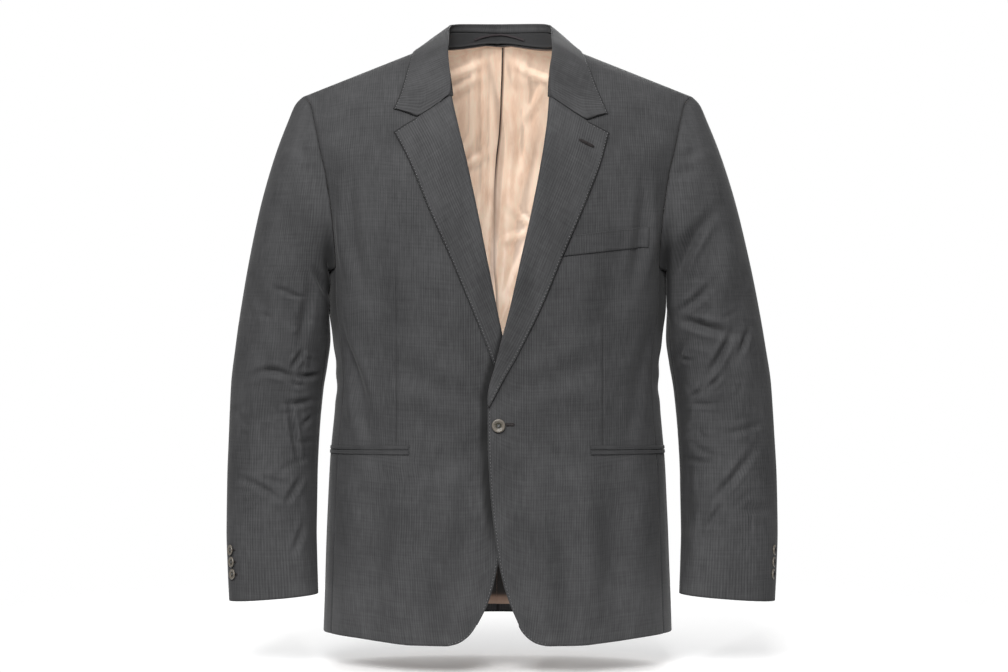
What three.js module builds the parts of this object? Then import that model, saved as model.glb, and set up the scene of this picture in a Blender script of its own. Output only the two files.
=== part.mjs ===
// A single-breasted, one-button suit jacket, filled out as if worn, with nobody inside.
// Millimetres. +X is the wearer's left, -Y is the front and +Z is up. The origin lies midway
// between the shoulders, level with the neck end of the shoulder seams.
import * as THREE from "three";
import { mergeVertices } from "three/addons/utils/BufferGeometryUtils.js";

// Cloth thicknesses, with the canvas and padding that each layer carries
const BODY_CLOTH = 2.0;
const SLEEVE_CLOTH = 1.6;
const FACING_CLOTH = 2.0;
const COLLAR_CLOTH = 2.0;
const WELT_CLOTH = 1.5;
const LINING_CLOTH = 1.0;
const SEAM_GAP = 0.34;
const SLEEVE_GAP = 0.25; // drawn in on each side of a sleeve seam
const UNDERARM_GAP = 1.1; // the same in the tight corner below the armhole
const UNDERARM_ROWS = 3;
const LAID_ON = 0.7; // clearance under a piece that lies on a panel

// Lengths down the body
const SIDE_HEM = -755;
const SIDE_HEM_SAG = 1.5;
const BACK_HEM_LIFT = 6;
const SKIRT_LEVEL = -640; // above this the rows of the panels are level
const UNDERARM_LEVEL = -288;
const ARMHOLE_DIP = 6;
const NAPE_LEVEL = 13;
const SHOULDER_LEVEL = 29;
const CREST_SOFTNESS = 20; // rounds the shoulder slope where it crosses the centre

// Rings of the body from hem to shoulder seam. level is the height at the centre, drop how far
// the ring falls for each mm sideways, half its half width, front and back its depths, round
// the exponent of its outline, and arm where front and back end: the side seams, then the armhole.
const SECTIONS = [
  { name: "hem", level: -762, drop: 0, half: 226, front: 120, back: 124, round: 2.25, arm: 212.4 },
  { name: "seat", level: -650, drop: 0, half: 222, front: 120, back: 126, round: 2.25, arm: 208.7 },
  { name: "hip", level: -540, drop: 0, half: 217.5, front: 118, back: 117, round: 2.25, arm: 204.5 },
  { name: "waist", level: -435, drop: 0, half: 209, front: 114, back: 101, round: 2.25, arm: 196.5 },
  { name: "rib", level: -375, drop: 0, half: 214, front: 120, back: 106, round: 2.3, arm: 201.2 },
  { name: "ribs", level: -335, drop: 0, half: 218.8, front: 123.5, back: 112, round: 2.3, arm: 205.7 },
  { name: "underarm", level: -288, drop: 0, half: 219.5, front: 127, back: 121, round: 2.35, arm: 206.3 },
  { name: "chest", level: -225, drop: 0.04, half: 229, front: 128, back: 129, round: 2.35, arm: 208.5 },
  { name: "blade", level: -150, drop: 0.12, half: 244, front: 119, back: 127, round: 2.35, arm: 213.5 },
  { name: "yoke", level: -88, drop: 0.22, half: 257, front: 103, back: 112, round: 2.3, arm: 223 },
  { name: "collarbone", level: -32, drop: 0.31, half: 264, front: 80, back: 94, round: 2.2, arm: 232 },
  { name: "neck", level: 4, drop: 0.365, half: 267, front: 56, back: 77, round: 2.0, arm: 241 },
  { name: "crest", level: 18.5, drop: 0.385, half: 268, front: 36, back: 56, round: 2.0, arm: 246.5 },
  { name: "ridge", level: 26.3, drop: 0.395, half: 268, front: 18, back: 29, round: 2.0, arm: 250.5 },
  { name: "seam", level: 29, drop: 0.398, half: 268, front: 0, back: 0, round: 2.0, arm: 253 },
];
const TOP = SECTIONS.length - 1;

// Where each front ends towards the centre: the front edge, the roll line, then the neck seam.
// x is measured towards the front's own side, so the overlap across the centre is negative.
const LEFT_OPENING = [
  { level: -735, x: 27 }, { level: -711, x: 16.5 }, { level: -684, x: 7.5 },
  { level: -655, x: 1.2 }, { level: -608, x: -5 }, { level: -560, x: -9.5 },
  { level: -500, x: -12 }, { level: -458, x: -12 }, { level: -405, x: -0.4 },
  { level: -334, x: 17.6 }, { level: -279, x: 29.8 }, { level: -223, x: 42 },
  { level: -155, x: 54.5 }, { level: -100, x: 62 }, { level: -64, x: 65 },
  { level: -20, x: 68 }, { level: 3, x: 72 }, { level: 18, x: 77 }, { level: 29, x: 83 },
];
const RIGHT_OPENING = [
  { level: -735, x: 24.5 }, { level: -711, x: 12.5 }, { level: -684, x: 4 },
  { level: -655, x: -2 }, { level: -608, x: -10 }, { level: -560, x: -16 },
  { level: -500, x: -21 }, { level: -458, x: -22 }, { level: -405, x: -12.5 },
  { level: -334, x: 2.2 }, { level: -279, x: 13 }, { level: -223, x: 24 },
  { level: -155, x: 38 }, { level: -100, x: 50 }, { level: -64, x: 57 },
  { level: -20, x: 63 }, { level: 3, x: 69 }, { level: 18, x: 75.5 }, { level: 29, x: 83 },
];
// The rounded quarter at the foot of each front, from the edge out to the level hem
const QUARTER = [
  { x: 25.5, level: -735 }, { x: 31, level: -744 }, { x: 39, level: -752.5 },
  { x: 50, level: -759 }, { x: 64, level: -762 }, { x: 90, level: -763 }, { x: 118, level: -761.5 },
  { x: 148, level: -759 }, { x: 187, level: -756 }, { x: 230, level: -755 },
];
const BREAK_LEVEL = -458;
const GORGE_LEVEL = -64;
// The outer edge of each lapel, from the break up to its tip
const LEFT_LAPEL_EDGE = [
  { z: -456, x: -9 }, { z: -429, x: 6.5 }, { z: -384, x: 30.6 }, { z: -334, x: 56 },
  { z: -279, x: 80 }, { z: -208, x: 110.5 }, { z: -155, x: 131 }, { z: -119, x: 141 },
];
const RIGHT_LAPEL_EDGE = [
  { z: -456, x: -18.5 }, { z: -413, x: 3.2 }, { z: -372, x: 20 }, { z: -322, x: 40 },
  { z: -279, x: 58 }, { z: -217, x: 85 }, { z: -155, x: 111 }, { z: -119, x: 130 },
];
const SIDES = [
  { name: "left", sign: 1, opening: LEFT_OPENING, lapelEdge: LEFT_LAPEL_EDGE, notch: { x: 112, z: -105 },
    collarTip: { x: 139, z: -95 }, under: false, pocketTurn: 29.9, ventTurn: -14, sleeveOut: 2, sleeveIn: 0 },
  { name: "right", sign: -1, opening: RIGHT_OPENING, lapelEdge: RIGHT_LAPEL_EDGE, notch: { x: 100, z: -101 },
    collarTip: { x: 130, z: -89 }, under: true, pocketTurn: 28, ventTurn: 0, sleeveOut: -7, sleeveIn: -3.5 },
];

// How deep the wearer's right front is pressed in where the left one laps over it
const UNDERLAP = [
  { level: -762, sink: 3.0 }, { level: -520, sink: 3.2 }, { level: -455, sink: 6.6 },
  { level: -370, sink: 6.6 }, { level: -310, sink: 3.0 }, { level: -240, sink: 0 }, { level: 29, sink: 0 },
];
const UNDERLAP_FULL = 12;
const UNDERLAP_NONE = 62;

// Rows of the panels: shares of the way from the hem to the skirt level, then levels
const SKIRT_SHARES = [0, 0.3, 0.65];
const LOWER_LEVELS = [-640, -580, -525, -480, -435, -390, -340, UNDERARM_LEVEL];
const UPPER_LEVELS = [-245, -205, -165, -125, -88, -52, -20, -2, NAPE_LEVEL, 17.5, 22.5, 26.3, SHOULDER_LEVEL];
// Columns of the panels, as shares of the way out from the centre
const FRONT_COLUMNS = [0, 0.035, 0.08, 0.14, 0.22, 0.33, 0.46, 0.6, 0.74, 0.88, 1];
const BACK_COLUMNS = FRONT_COLUMNS.filter((_, i) => i % 2 === 0 || i > 6);
const SIDE_COLUMNS = [0, 0.13, 0.28, 0.5, 0.75, 1];

// The collar by stations from the middle of the back to the gorge. at is the share of the neck
// seam, roll the fold it turns over at, edge and over where its outer edge lies on the body:
// over counts sections down from the shoulder seam, to the back if positive.
const COLLAR = [
  { at: 0, rollX: 0, rollY: 66, rollZ: 35.5, edgeX: 0, over: 3.5, swell: 6 },
  { at: 0.14, rollX: 28, rollY: 62, rollZ: 35.3, edgeX: 30, over: 3.4, swell: 6 },
  { at: 0.28, rollX: 53, rollY: 48, rollZ: 33.5, edgeX: 64, over: 2.8, swell: 5 },
  { at: 0.39, rollX: 64, rollY: 27, rollZ: 29, edgeX: 90, over: 1.3, swell: 3 },
  { at: 0.464, rollX: 66.5, rollY: 7, rollZ: 23.5, edgeX: 103, over: 0.1, swell: 2 },
  { at: 0.53, rollX: 67, rollY: -10, rollZ: 16.5, edgeX: 107, over: -0.9, swell: 2 },
  { at: 0.6, rollX: 66.5, rollY: -28, rollZ: 8.5, edgeX: 110, over: -1.8, swell: 2 },
  { at: 0.72, rollX: 65, rollY: -62, rollZ: -10, edgeX: 114.5, over: -3, swell: 2.5 },
  { at: 0.84, rollX: 62.5, rollY: -85, rollZ: -34, edgeX: 121, over: -3.8, swell: 3 },
  { at: 0.94, rollX: 61, rollY: -93.5, rollZ: -58, edgeX: 130, over: -4.3, swell: 2.5 },
  { at: 1, rollX: 61.3, rollY: -96, rollZ: -74.5, edgeX: 136, over: -4.57, swell: 2 },
];
const STATION_GAP = 15; // longer steps of the neck seam are halved
const COLLAR_SHIFT = 4; // the roll stands this far towards the wearer's left

// The sleeve by rings from armhole to cuff, on the wearer's left: its outer and inner
// points, its middle front to back, its half depth, and the turns of the two seams round it.
const SLEEVE = [
  { name: "head", outX: 253, outZ: -66, inX: 219, inZ: -290, midY: 2, deep: 70, hind: -108, fore: 145 },
  { name: "rope", outX: 262, outZ: -75, inX: 221.5, inZ: -294, midY: 2, deep: 71, hind: -106, fore: 145.5 },
  { name: "cap", outX: 274, outZ: -102, inX: 222.5, inZ: -300, midY: 2, deep: 72, hind: -102, fore: 146.5 },
  { name: "crown", outX: 290, outZ: -143, inX: 223, inZ: -312, midY: 3, deep: 72, hind: -96, fore: 148 },
  { name: "biceps", outX: 308, outZ: -202, inX: 222, inZ: -328, midY: 4, deep: 72, hind: -88, fore: 150 },
  { name: "upper", outX: 322.5, outZ: -263, inX: 220.5, inZ: -350, midY: 5, deep: 70, hind: -76, fore: 153 },
  { name: "lower", outX: 335, outZ: -326, inX: 219.5, inZ: -378, midY: 6, deep: 67, hind: -62, fore: 156 },
  { name: "bend", outX: 345, outZ: -386, inX: 223.5, inZ: -410, midY: 6, deep: 62, hind: -48, fore: 159 },
  { name: "elbow", outX: 352, outZ: -440, inX: 229.5, inZ: -446, midY: 4, deep: 57, hind: -36, fore: 162 },
  { name: "forearm", outX: 354.5, outZ: -500, inX: 234, inZ: -500, midY: -4, deep: 51, hind: -24, fore: 165 },
  { name: "middle", outX: 356, outZ: -560, inX: 236, inZ: -557, midY: -15, deep: 45, hind: -14, fore: 168 },
  { name: "wrist", outX: 355.5, outZ: -622, inX: 236, inZ: -616, midY: -28, deep: 39, hind: -6, fore: 171 },
  { name: "vent", outX: 353, outZ: -670, inX: 234.5, inZ: -662, midY: -37, deep: 35.5, hind: -1, fore: 173 },
  { name: "cuff", outX: 350, outZ: -713, inX: 232.5, inZ: -704, midY: -45, deep: 33, hind: 2, fore: 175 },
];
const CUFF = SLEEVE.length - 1;
const SLEEVE_ROWS = [
  0, 0.5, 1.2, 2, 3, 4, 5, 6, 6.5, 7, 7.4, 7.8, 8.2, 8.6, 9, 9.5, 10, 10.5, 11, 12, CUFF,
];
const SLEEVE_ROUND = 2.1;
const HUG = { start: 1.2, full: 3.4, fade: 4.6, none: 6.4, deep: 13, atY: -43, wide: 22 }; // the sleeve leans on the chest here
const ARMHOLE_FADE = 3.5; // rings over which the true armhole melts into the round rings

// The largest creases of the sleeves. ring and turn place the middle, along and across are
// half sizes in mm, tilt its slant in degrees, deep how far it sinks (negative stands out).
const LEFT_CREASES = [
  { ring: 3.6, turn: 70, along: 38, across: 12, tilt: 25, deep: 2.5 },
  { ring: 5.4, turn: 112, along: 46, across: 13, tilt: -62, deep: 5 },
  { ring: 6.9, turn: 100, along: 42, across: 11, tilt: -20, deep: 4 },
  { ring: 7.9, turn: 128, along: 44, across: 11, tilt: 18, deep: 4.5 },
  { ring: 8.7, turn: 96, along: 40, across: 12, tilt: -24, deep: 3.5 },
  { ring: 9.8, turn: 118, along: 46, across: 13, tilt: 22, deep: 4 },
  { ring: 10.7, turn: 134, along: 36, across: 13, tilt: -50, deep: 3.5 },
  { ring: 7.4, turn: 236, along: 48, across: 13, tilt: -14, deep: 4.5 },
  { ring: 8.9, turn: 262, along: 44, across: 12, tilt: 16, deep: 3.5 },
];
const RIGHT_CREASES = [
  { ring: 6.7, turn: 84, along: 44, across: 12, tilt: -16, deep: 4 },
  { ring: 7.5, turn: 126, along: 40, across: 11, tilt: 24, deep: 4.5 },
  { ring: 8.5, turn: 116, along: 42, across: 11, tilt: -10, deep: 4 },
  { ring: 9.6, turn: 92, along: 52, across: 12, tilt: -28, deep: 3.5 },
  { ring: 10.2, turn: 130, along: 38, across: 12, tilt: 30, deep: 4 },
  { ring: 4.6, turn: 140, along: 40, across: 13, tilt: 70, deep: 4.5 },
  { ring: 7.2, turn: 244, along: 46, across: 13, tilt: 15, deep: 4.5 },
  { ring: 9.1, turn: 268, along: 44, across: 12, tilt: -18, deep: 3.5 },
];

// Pockets
const HIP_POCKET = { level: -517.8, fall: 3, outer: 84, jet: 5.8, jetOut: 4.6, slit: 0.5, steps: 10 };
const LAPEL_CLEAR = 1.2;
const BREAST_WELT = { outerX: 189, innerZ: -263, outerZ: -250, high: 26, lean: 2, steps: 10 };

// Buttons and the hanger loop
const BUTTON_OFF = 0.4;
const FRONT_BUTTON = { radius: 9, thick: 3.2, sides: 18, level: -487, x: 0 };
const CUFF_BUTTON = { radius: 6.8, thick: 2.6, sides: 12, rings: [11.53, 11.86, 12.2], turnIn: 21 };
const LOOP = { half: 34, wide: 3.2, thick: 1.4, low: 0.2, high: 0.5, standHeight: 23, steps: 10, off: 0.9 };

// The lining of the back
const LINING_GAP = 0.7;
const LINING_HEM = 16; // cloth left bare above the hem
const PLEAT = { top: 7, foot: -2, footLevel: -400, lap: 9, lift: 1.5 };

const paint = (colour, roughness) =>
  new THREE.MeshStandardMaterial({ color: colour, roughness, metalness: 0 });
const CLOTH = paint("#4b4c4e", 0.85);
const COLLAR_INSIDE = paint("#3c3d40", 0.9);
const SATIN = paint("#dfc3a8", 0.4);
const HORN = paint("#8d8880", 0.35);

const jacket = new THREE.Group();
jacket.name = "suit_jacket";

const clamp = (value, low, high) => Math.min(Math.max(value, low), high);
const mix = (a, b, share) => a + (b - a) * share;
const ease = (low, high, value) => {
  const t = clamp((value - low) / (high - low), 0, 1);
  return t * t * (3 - 2 * t);
};
const radians = THREE.MathUtils.degToRad;

// A smooth curve through a table's column, over another column or over the row number
function curve(rows, key, over = null) {
  const xs = rows.map((row, i) => (over ? row[over] : i));
  const ys = rows.map((row) => row[key]);
  const steps = xs.slice(1).map((x, i) => (ys[i + 1] - ys[i]) / (x - xs[i]));
  const slopes = ys.map((_, i) => {
    if (i === 0) return steps[0];
    if (i === ys.length - 1) return steps[i - 1];
    if (steps[i - 1] * steps[i] <= 0) return 0;
    return (2 * steps[i - 1] * steps[i]) / (steps[i - 1] + steps[i]);
  });
  return (value) => {
    const x = clamp(value, xs[0], xs[xs.length - 1]);
    let i = 0;
    while (i < xs.length - 2 && x > xs[i + 1]) i++;
    const wide = xs[i + 1] - xs[i];
    const t = (x - xs[i]) / wide;
    const a = (1 + 2 * t) * (1 - t) * (1 - t) * ys[i] + t * t * (3 - 2 * t) * ys[i + 1];
    return a + wide * t * (1 - t) * ((1 - t) * slopes[i] - t * slopes[i + 1]);
  };
}

const section = Object.fromEntries(
  ["level", "drop", "half", "front", "back", "round", "arm"].map((key) => [key, curve(SECTIONS, key)]),
);

// The section number at a level
function rowOf(level) {
  let low = 0;
  let high = TOP;
  for (let i = 0; i < 40; i++) {
    const middle = (low + high) / 2;
    if (section.level(middle) < level) low = middle;
    else high = middle;
  }
  return (low + high) / 2;
}

const slopeRun = (x) => Math.hypot(x, CREST_SOFTNESS) - CREST_SOFTNESS;

// The level of the ring that passes through x at height z
function levelAt(x, z) {
  let level = z;
  for (let i = 0; i < 30; i++) level = z + section.drop(rowOf(level)) * slopeRun(x);
  return level;
}

// A point on the body's outside, on its front (face -1) or back (face 1)
function bodyPoint(face, x, row) {
  const round = section.round(row);
  const share = Math.min(Math.abs(x) / section.half(row), 1);
  const depth = face < 0 ? section.front(row) : section.back(row);
  const y = face * depth * (1 - share ** round) ** (1 / round);
  return new THREE.Vector3(x, y, section.level(row) - section.drop(row) * slopeRun(x));
}

// A point on the body's side between the two side seams, share 0 at the front one
function sidePoint(share, row) {
  const x = section.arm(row);
  const y = mix(bodyPoint(-1, x, row).y, bodyPoint(1, x, row).y, share);
  const round = section.round(row);
  const depth = y < 0 ? section.front(row) : section.back(row);
  const out = section.half(row) * (1 - (Math.abs(y) / depth) ** round) ** (1 / round);
  return new THREE.Vector3(out, y, section.level(row));
}

// The outward normal of a surface that takes two numbers, by small steps
function normalOf(surface, a, b, stepA, stepB) {
  const alongA = surface(a + stepA, b).sub(surface(a - stepA, b));
  const alongB = surface(a, b + stepB).sub(surface(a, b - stepB));
  return alongA.cross(alongB).normalize();
}

// A place on a panel: its point and outward normal
function bodyPlace(face, x, row) {
  const point = bodyPoint(face, x, row);
  if (row > TOP - 0.01) {
    return { point, normal: new THREE.Vector3(section.drop(row), 0, 1).normalize() };
  }
  const surface = (a, b) => bodyPoint(face, a, b);
  const normal = normalOf(surface, x, Math.min(row, TOP - 0.02), 0.5, 0.01);
  return { point, normal: normal.multiplyScalar(-face) };
}

function sidePlace(share, row) {
  return { point: sidePoint(share, row), normal: normalOf(sidePoint, share, row, 0.01, 0.01) };
}

const raised = (place, by) => ({
  point: place.point.clone().addScaledVector(place.normal, by),
  normal: place.normal,
});
const mirrored = (place, sign) => ({
  point: place.point.clone().multiply(new THREE.Vector3(sign, 1, 1)),
  normal: place.normal.clone().multiply(new THREE.Vector3(sign, 1, 1)),
});

// Draws the border of a grid in by half a seam gap
function trimmed(grid, gapAt = () => SEAM_GAP / 2) {
  const rows = grid.length - 1;
  const columns = grid[0].length - 1;
  const moved = (r, c, r2, c2) => {
    const from = grid[r][c].point;
    return grid[r2][c2].point.clone().sub(from).setLength(gapAt(r));
  };
  return grid.map((line, r) =>
    line.map((place, c) => {
      const point = place.point.clone();
      if (r === 0) point.add(moved(0, c, 1, c));
      if (r === rows) point.add(moved(rows, c, rows - 1, c));
      if (c === 0) point.add(moved(r, 0, r, 1));
      if (c === columns) point.add(moved(r, columns, r, columns - 1));
      return { point, normal: place.normal };
    }),
  );
}

// A closed wall of cloth whose outside is a grid of places
function wall(grid, thick) {
  const rows = grid.length;
  const columns = grid[0].length;
  const corners = [];
  for (const line of grid) for (const place of line) corners.push(place.point);
  for (const line of grid) for (const place of line) corners.push(raised(place, -thick).point);
  const outer = (r, c) => r * columns + c;
  const inner = (r, c) => rows * columns + r * columns + c;
  const faces = [];
  const quad = (a, b, c, d) => faces.push(a, b, c, a, c, d);
  for (let r = 0; r + 1 < rows; r++) {
    for (let c = 0; c + 1 < columns; c++) {
      quad(outer(r, c), outer(r, c + 1), outer(r + 1, c + 1), outer(r + 1, c));
      quad(inner(r, c), inner(r + 1, c), inner(r + 1, c + 1), inner(r, c + 1));
    }
  }
  for (let r = 0; r + 1 < rows; r++) {
    quad(outer(r, 0), outer(r + 1, 0), inner(r + 1, 0), inner(r, 0));
    quad(outer(r + 1, columns - 1), outer(r, columns - 1), inner(r, columns - 1), inner(r + 1, columns - 1));
  }
  for (let c = 0; c + 1 < columns; c++) {
    quad(outer(0, c + 1), outer(0, c), inner(0, c), inner(0, c + 1));
    quad(outer(rows - 1, c), outer(rows - 1, c + 1), inner(rows - 1, c + 1), inner(rows - 1, c));
  }
  let volume = 0;
  for (let i = 0; i < faces.length; i += 3) {
    const [a, b, c] = [corners[faces[i]], corners[faces[i + 1]], corners[faces[i + 2]]];
    volume += a.dot(b.clone().cross(c));
  }
  if (volume < 0) faces.reverse();
  const geometry = new THREE.BufferGeometry().setFromPoints(corners);
  geometry.setIndex(faces);
  return geometry;
}

function addPiece(name, geometry, material) {
  const mesh = new THREE.Mesh(geometry, material);
  mesh.name = name;
  jacket.add(mesh);
  return mesh;
}

// The rows of a panel at one share of its width, as levels, from its hem upwards
function panelLevels(hemLevel, upper) {
  const skirt = SKIRT_SHARES.map((share) => mix(hemLevel, SKIRT_LEVEL, share));
  return [...skirt, ...LOWER_LEVELS, ...(upper ? UPPER_LEVELS : [])];
}

const underlap = curve(UNDERLAP, "sink", "level");
const quarter = curve(QUARTER, "level", "x");

// A place on a front: the body's front, pressed in where the other front laps over it
function frontPlace(side, x, level) {
  const place = bodyPlace(-1, x, rowOf(level));
  if (!side.under) return place;
  return raised(place, -underlap(level) * (1 - ease(UNDERLAP_FULL, UNDERLAP_NONE, x)));
}

function frontPanel(side) {
  const opening = curve(side.opening, "x", "level");
  const footX = opening(side.opening[0].level);
  const hemArm = section.arm(0);
  const columns = FRONT_COLUMNS.map((share) => {
    const hem = quarter(mix(footX, hemArm, share));
    return { share, levels: panelLevels(share === 0 ? side.opening[0].level : hem, true) };
  });
  const rows = columns[0].levels.map((edgeLevel, r) =>
    columns.map(({ share, levels }) => {
      const x = mix(opening(edgeLevel), section.arm(rowOf(levels[r])), share);
      return mirrored(frontPlace(side, x, levels[r]), side.sign);
    }),
  );
  addPiece(`front_${side.name}`, wall(trimmed(rows), BODY_CLOTH), CLOTH);
}

const backNeck = curve(
  [
    { level: NAPE_LEVEL, x: 0 }, { level: 17.5, x: 36 }, { level: 22.5, x: 61 },
    { level: 26.3, x: 74 }, { level: SHOULDER_LEVEL, x: 83 },
  ],
  "x",
  "level",
);
const backHem = (share) => SIDE_HEM + BACK_HEM_LIFT * (1 - ease(0, 0.9, share));

// The grid of the back, or of its lining with a lower top and a higher foot
function backGrid(columns, hemOf, levelsOf, start, inset) {
  const lines = columns.map((share) => levelsOf(hemOf(share)));
  return lines[0].map((_, r) =>
    columns.map((share, c) => {
      const level = lines[c][r];
      const x = mix(start(level), section.arm(rowOf(level)), share);
      return raised(bodyPlace(1, x, rowOf(level)), inset);
    }),
  );
}

function backPanel(side) {
  const start = (level) => (level > NAPE_LEVEL ? backNeck(level) : 0);
  const grid = backGrid(BACK_COLUMNS, backHem, (hem) => panelLevels(hem, true), start, 0);
  const placed = grid.map((line) => line.map((place) => mirrored(place, side.sign)));
  addPiece(`back_${side.name}`, wall(trimmed(placed), BODY_CLOTH), CLOTH);
}

// Where the side's top edge runs, a shallow dip under the arm
const underarm = (share) => UNDERARM_LEVEL - ARMHOLE_DIP * Math.sin(Math.PI * share);

function sidePanel(side) {
  const columns = SIDE_COLUMNS.map((share) => panelLevels(SIDE_HEM - SIDE_HEM_SAG * Math.sin(Math.PI * share), false));
  const top = columns[0].length - 1;
  const rows = columns[0].map((_, r) =>
    SIDE_COLUMNS.map((share, c) => {
      const here = r === top ? underarm(share) : columns[c][r];
      return mirrored(sidePlace(share, rowOf(here)), side.sign);
    }),
  );
  addPiece(`side_${side.name}`, wall(trimmed(rows), BODY_CLOTH), CLOTH);
}

// The armhole from the shoulder down the front, under the arm and up the back, on +X
function armhole() {
  const edge = (face) =>
    [UNDERARM_LEVEL, ...UPPER_LEVELS].map((level) => bodyPlace(face, section.arm(rowOf(level)), rowOf(level)));
  const under = SIDE_COLUMNS.slice(1, -1).map((share) => sidePlace(share, rowOf(underarm(share))));
  return [...edge(-1).reverse(), ...under, ...edge(1).slice(0, -1)];
}

const sleeveCurves = Object.fromEntries(
  ["outX", "outZ", "inX", "inZ", "midY", "deep", "hind", "fore"].map((key) => [key, curve(SLEEVE, key)]),
);

// A point of the round sleeve at a ring and a turn: 0 is the outer point and 90 the front
function roundSleeve(ring, turn) {
  const s = sleeveCurves;
  const angle = radians(turn);
  const power = 2 / SLEEVE_ROUND;
  const across = Math.sign(Math.cos(angle)) * Math.abs(Math.cos(angle)) ** power;
  const forward = Math.sign(Math.sin(angle)) * Math.abs(Math.sin(angle)) ** power;
  const outer = new THREE.Vector3(s.outX(ring), 0, s.outZ(ring));
  const innerPoint = new THREE.Vector3(s.inX(ring), 0, s.inZ(ring));
  const point = outer.clone().add(innerPoint).multiplyScalar(0.5);
  point.addScaledVector(outer.sub(innerPoint), across / 2);
  point.y = s.midY(ring) - s.deep(ring) * forward;
  return point;
}

// The same on one of the two sleeves, leaning on the chest below the armhole
function sleevePoint(side, ring, turn) {
  const point = roundSleeve(ring, turn);
  const outer = (1 + Math.cos(radians(turn))) / 2;
  point.x += ease(1, 11, ring) * mix(side.sleeveIn, side.sleeveOut, outer);
  const lean = ease(HUG.start, HUG.full, ring) * (1 - ease(HUG.fade, HUG.none, ring)) * ease(0.5, 0.1, outer);
  point.x -= HUG.deep * lean * Math.exp(-(((point.y - HUG.atY) / HUG.wide) ** 2));
  return point;
}

// How far the creases sink the sleeve at a ring and a turn
function creaseDepth(creases, ring, turn) {
  const here = roundSleeve(ring, turn);
  let depth = 0;
  for (const crease of creases) {
    const middle = roundSleeve(crease.ring, crease.turn);
    if (here.distanceTo(middle) > 3 * crease.along) continue;
    const down = roundSleeve(crease.ring + 0.1, crease.turn).sub(middle).normalize();
    const round = roundSleeve(crease.ring, crease.turn + 1).sub(middle).normalize();
    const away = here.clone().sub(middle);
    const tilt = radians(crease.tilt);
    const u = away.dot(round);
    const v = away.dot(down);
    const along = (u * Math.cos(tilt) + v * Math.sin(tilt)) / crease.along;
    const across = (v * Math.cos(tilt) - u * Math.sin(tilt)) / crease.across;
    depth += crease.deep * Math.exp(-along * along - across * across);
  }
  return depth;
}

const sleeveGap = (row) => (row > 0 && row < UNDERARM_ROWS ? UNDERARM_GAP : SLEEVE_GAP);

// Both pieces of a sleeve share one tube of places, so their seams match
function sleeve(side, creases) {
  const ringPlaces = armhole();
  const count = ringPlaces.length;
  const head = roundSleeve(0, 0).sub(roundSleeve(0, 180));
  const centre = roundSleeve(0, 0).add(roundSleeve(0, 180)).multiplyScalar(0.5);
  const reach = head.length() / 2;
  const turns = ringPlaces.map(({ point }, i) => {
    const away = point.clone().sub(centre);
    const across = away.dot(head) / head.length() / reach;
    const turn = THREE.MathUtils.radToDeg(Math.atan2((sleeveCurves.midY(0) - point.y) / sleeveCurves.deep(0), across));
    return i > 0 && turn < 0 ? turn + 360 : turn;
  });
  const hindAt = turns.findIndex((turn) => turn > 360 + sleeveCurves.hind(0));
  const foreAt = turns.findIndex((turn) => turn > sleeveCurves.fore(0));
  const offsets = ringPlaces.map(({ point }, i) => point.clone().sub(roundSleeve(0, turns[i])));
  // The turn of a column at a ring: seams wander round the sleeve and the rest keep their share
  const turnAt = (i, ring) => {
    const swing = ease(9, CUFF, ring) * side.ventTurn;
    const hind = sleeveCurves.hind(ring) - sleeveCurves.hind(0) + turns[hindAt] - 360 + swing;
    const fore = sleeveCurves.fore(ring) - sleeveCurves.fore(0) + turns[foreAt] + swing;
    const own = i > hindAt ? turns[i] - 360 : turns[i];
    const [hind0, fore0] = [turns[hindAt] - 360, turns[foreAt]];
    if (i >= foreAt && i <= hindAt) return mix(fore, hind + 360, (turns[i] - fore0) / (hind0 + 360 - fore0));
    return mix(hind, fore, (own - hind0) / (fore0 - hind0));
  };
  const pointAt = (i, ring) => {
    const turn = turnAt(i, ring);
    const point = sleevePoint(side, ring, turn);
    const step = sleevePoint(side, ring, turn + 1).sub(point);
    const above = sleevePoint(side, Math.max(ring - 0.05, 0), turn);
    const down = sleevePoint(side, Math.min(ring + 0.05, CUFF), turn).sub(above);
    const outward = step.cross(down).normalize();
    point.addScaledVector(outward, -creaseDepth(creases, ring, turn) * ease(0, 1.5, ring));
    point.addScaledVector(offsets[i], 1 - ease(0, ARMHOLE_FADE, ring));
    return point;
  };
  const points = SLEEVE_ROWS.map((ring) => ringPlaces.map((_, i) => pointAt(i, ring)));
  const last = points.length - 1;
  const tube = points.map((line, r) =>
    line.map((point, i) => {
      const round = line[(i + 1) % count].clone().sub(line[(i + count - 1) % count]);
      const down = points[Math.min(r + 1, last)][i].clone().sub(points[Math.max(r - 1, 0)][i]);
      const normal = round.cross(down).normalize();
      if (r === 0) {
        const body = ringPlaces[i].normal;
        normal.lerp(body, ease(0.2, 0.7, normal.dot(body))).normalize();
      }
      return mirrored({ point, normal }, side.sign);
    }),
  );
  const columns = (from, to) =>
    tube.map((line) => Array.from({ length: to - from + 1 }, (_, i) => line[(from + i) % count]));
  addPiece(`under_sleeve_${side.name}`, wall(trimmed(columns(foreAt, hindAt), sleeveGap), SLEEVE_CLOTH), CLOTH);
  addPiece(`top_sleeve_${side.name}`, wall(trimmed(columns(hindAt, foreAt + count), sleeveGap), SLEEVE_CLOTH), CLOTH);
  CUFF_BUTTON.rings.forEach((ring, i) => {
    const hind = sleeveCurves.hind(ring) - sleeveCurves.hind(0) + turns[hindAt] - 360;
    const turn = hind + ease(9, CUFF, ring) * side.ventTurn + CUFF_BUTTON.turnIn;
    const at = (a, b) => sleevePoint(side, a, b);
    const place = mirrored({ point: at(ring, turn), normal: normalOf(at, ring, turn, 0.05, 1).negate() }, side.sign);
    button(`cuff_button_${side.name}_${i + 1}`, CUFF_BUTTON, place, BUTTON_OFF);
  });
}

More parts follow.
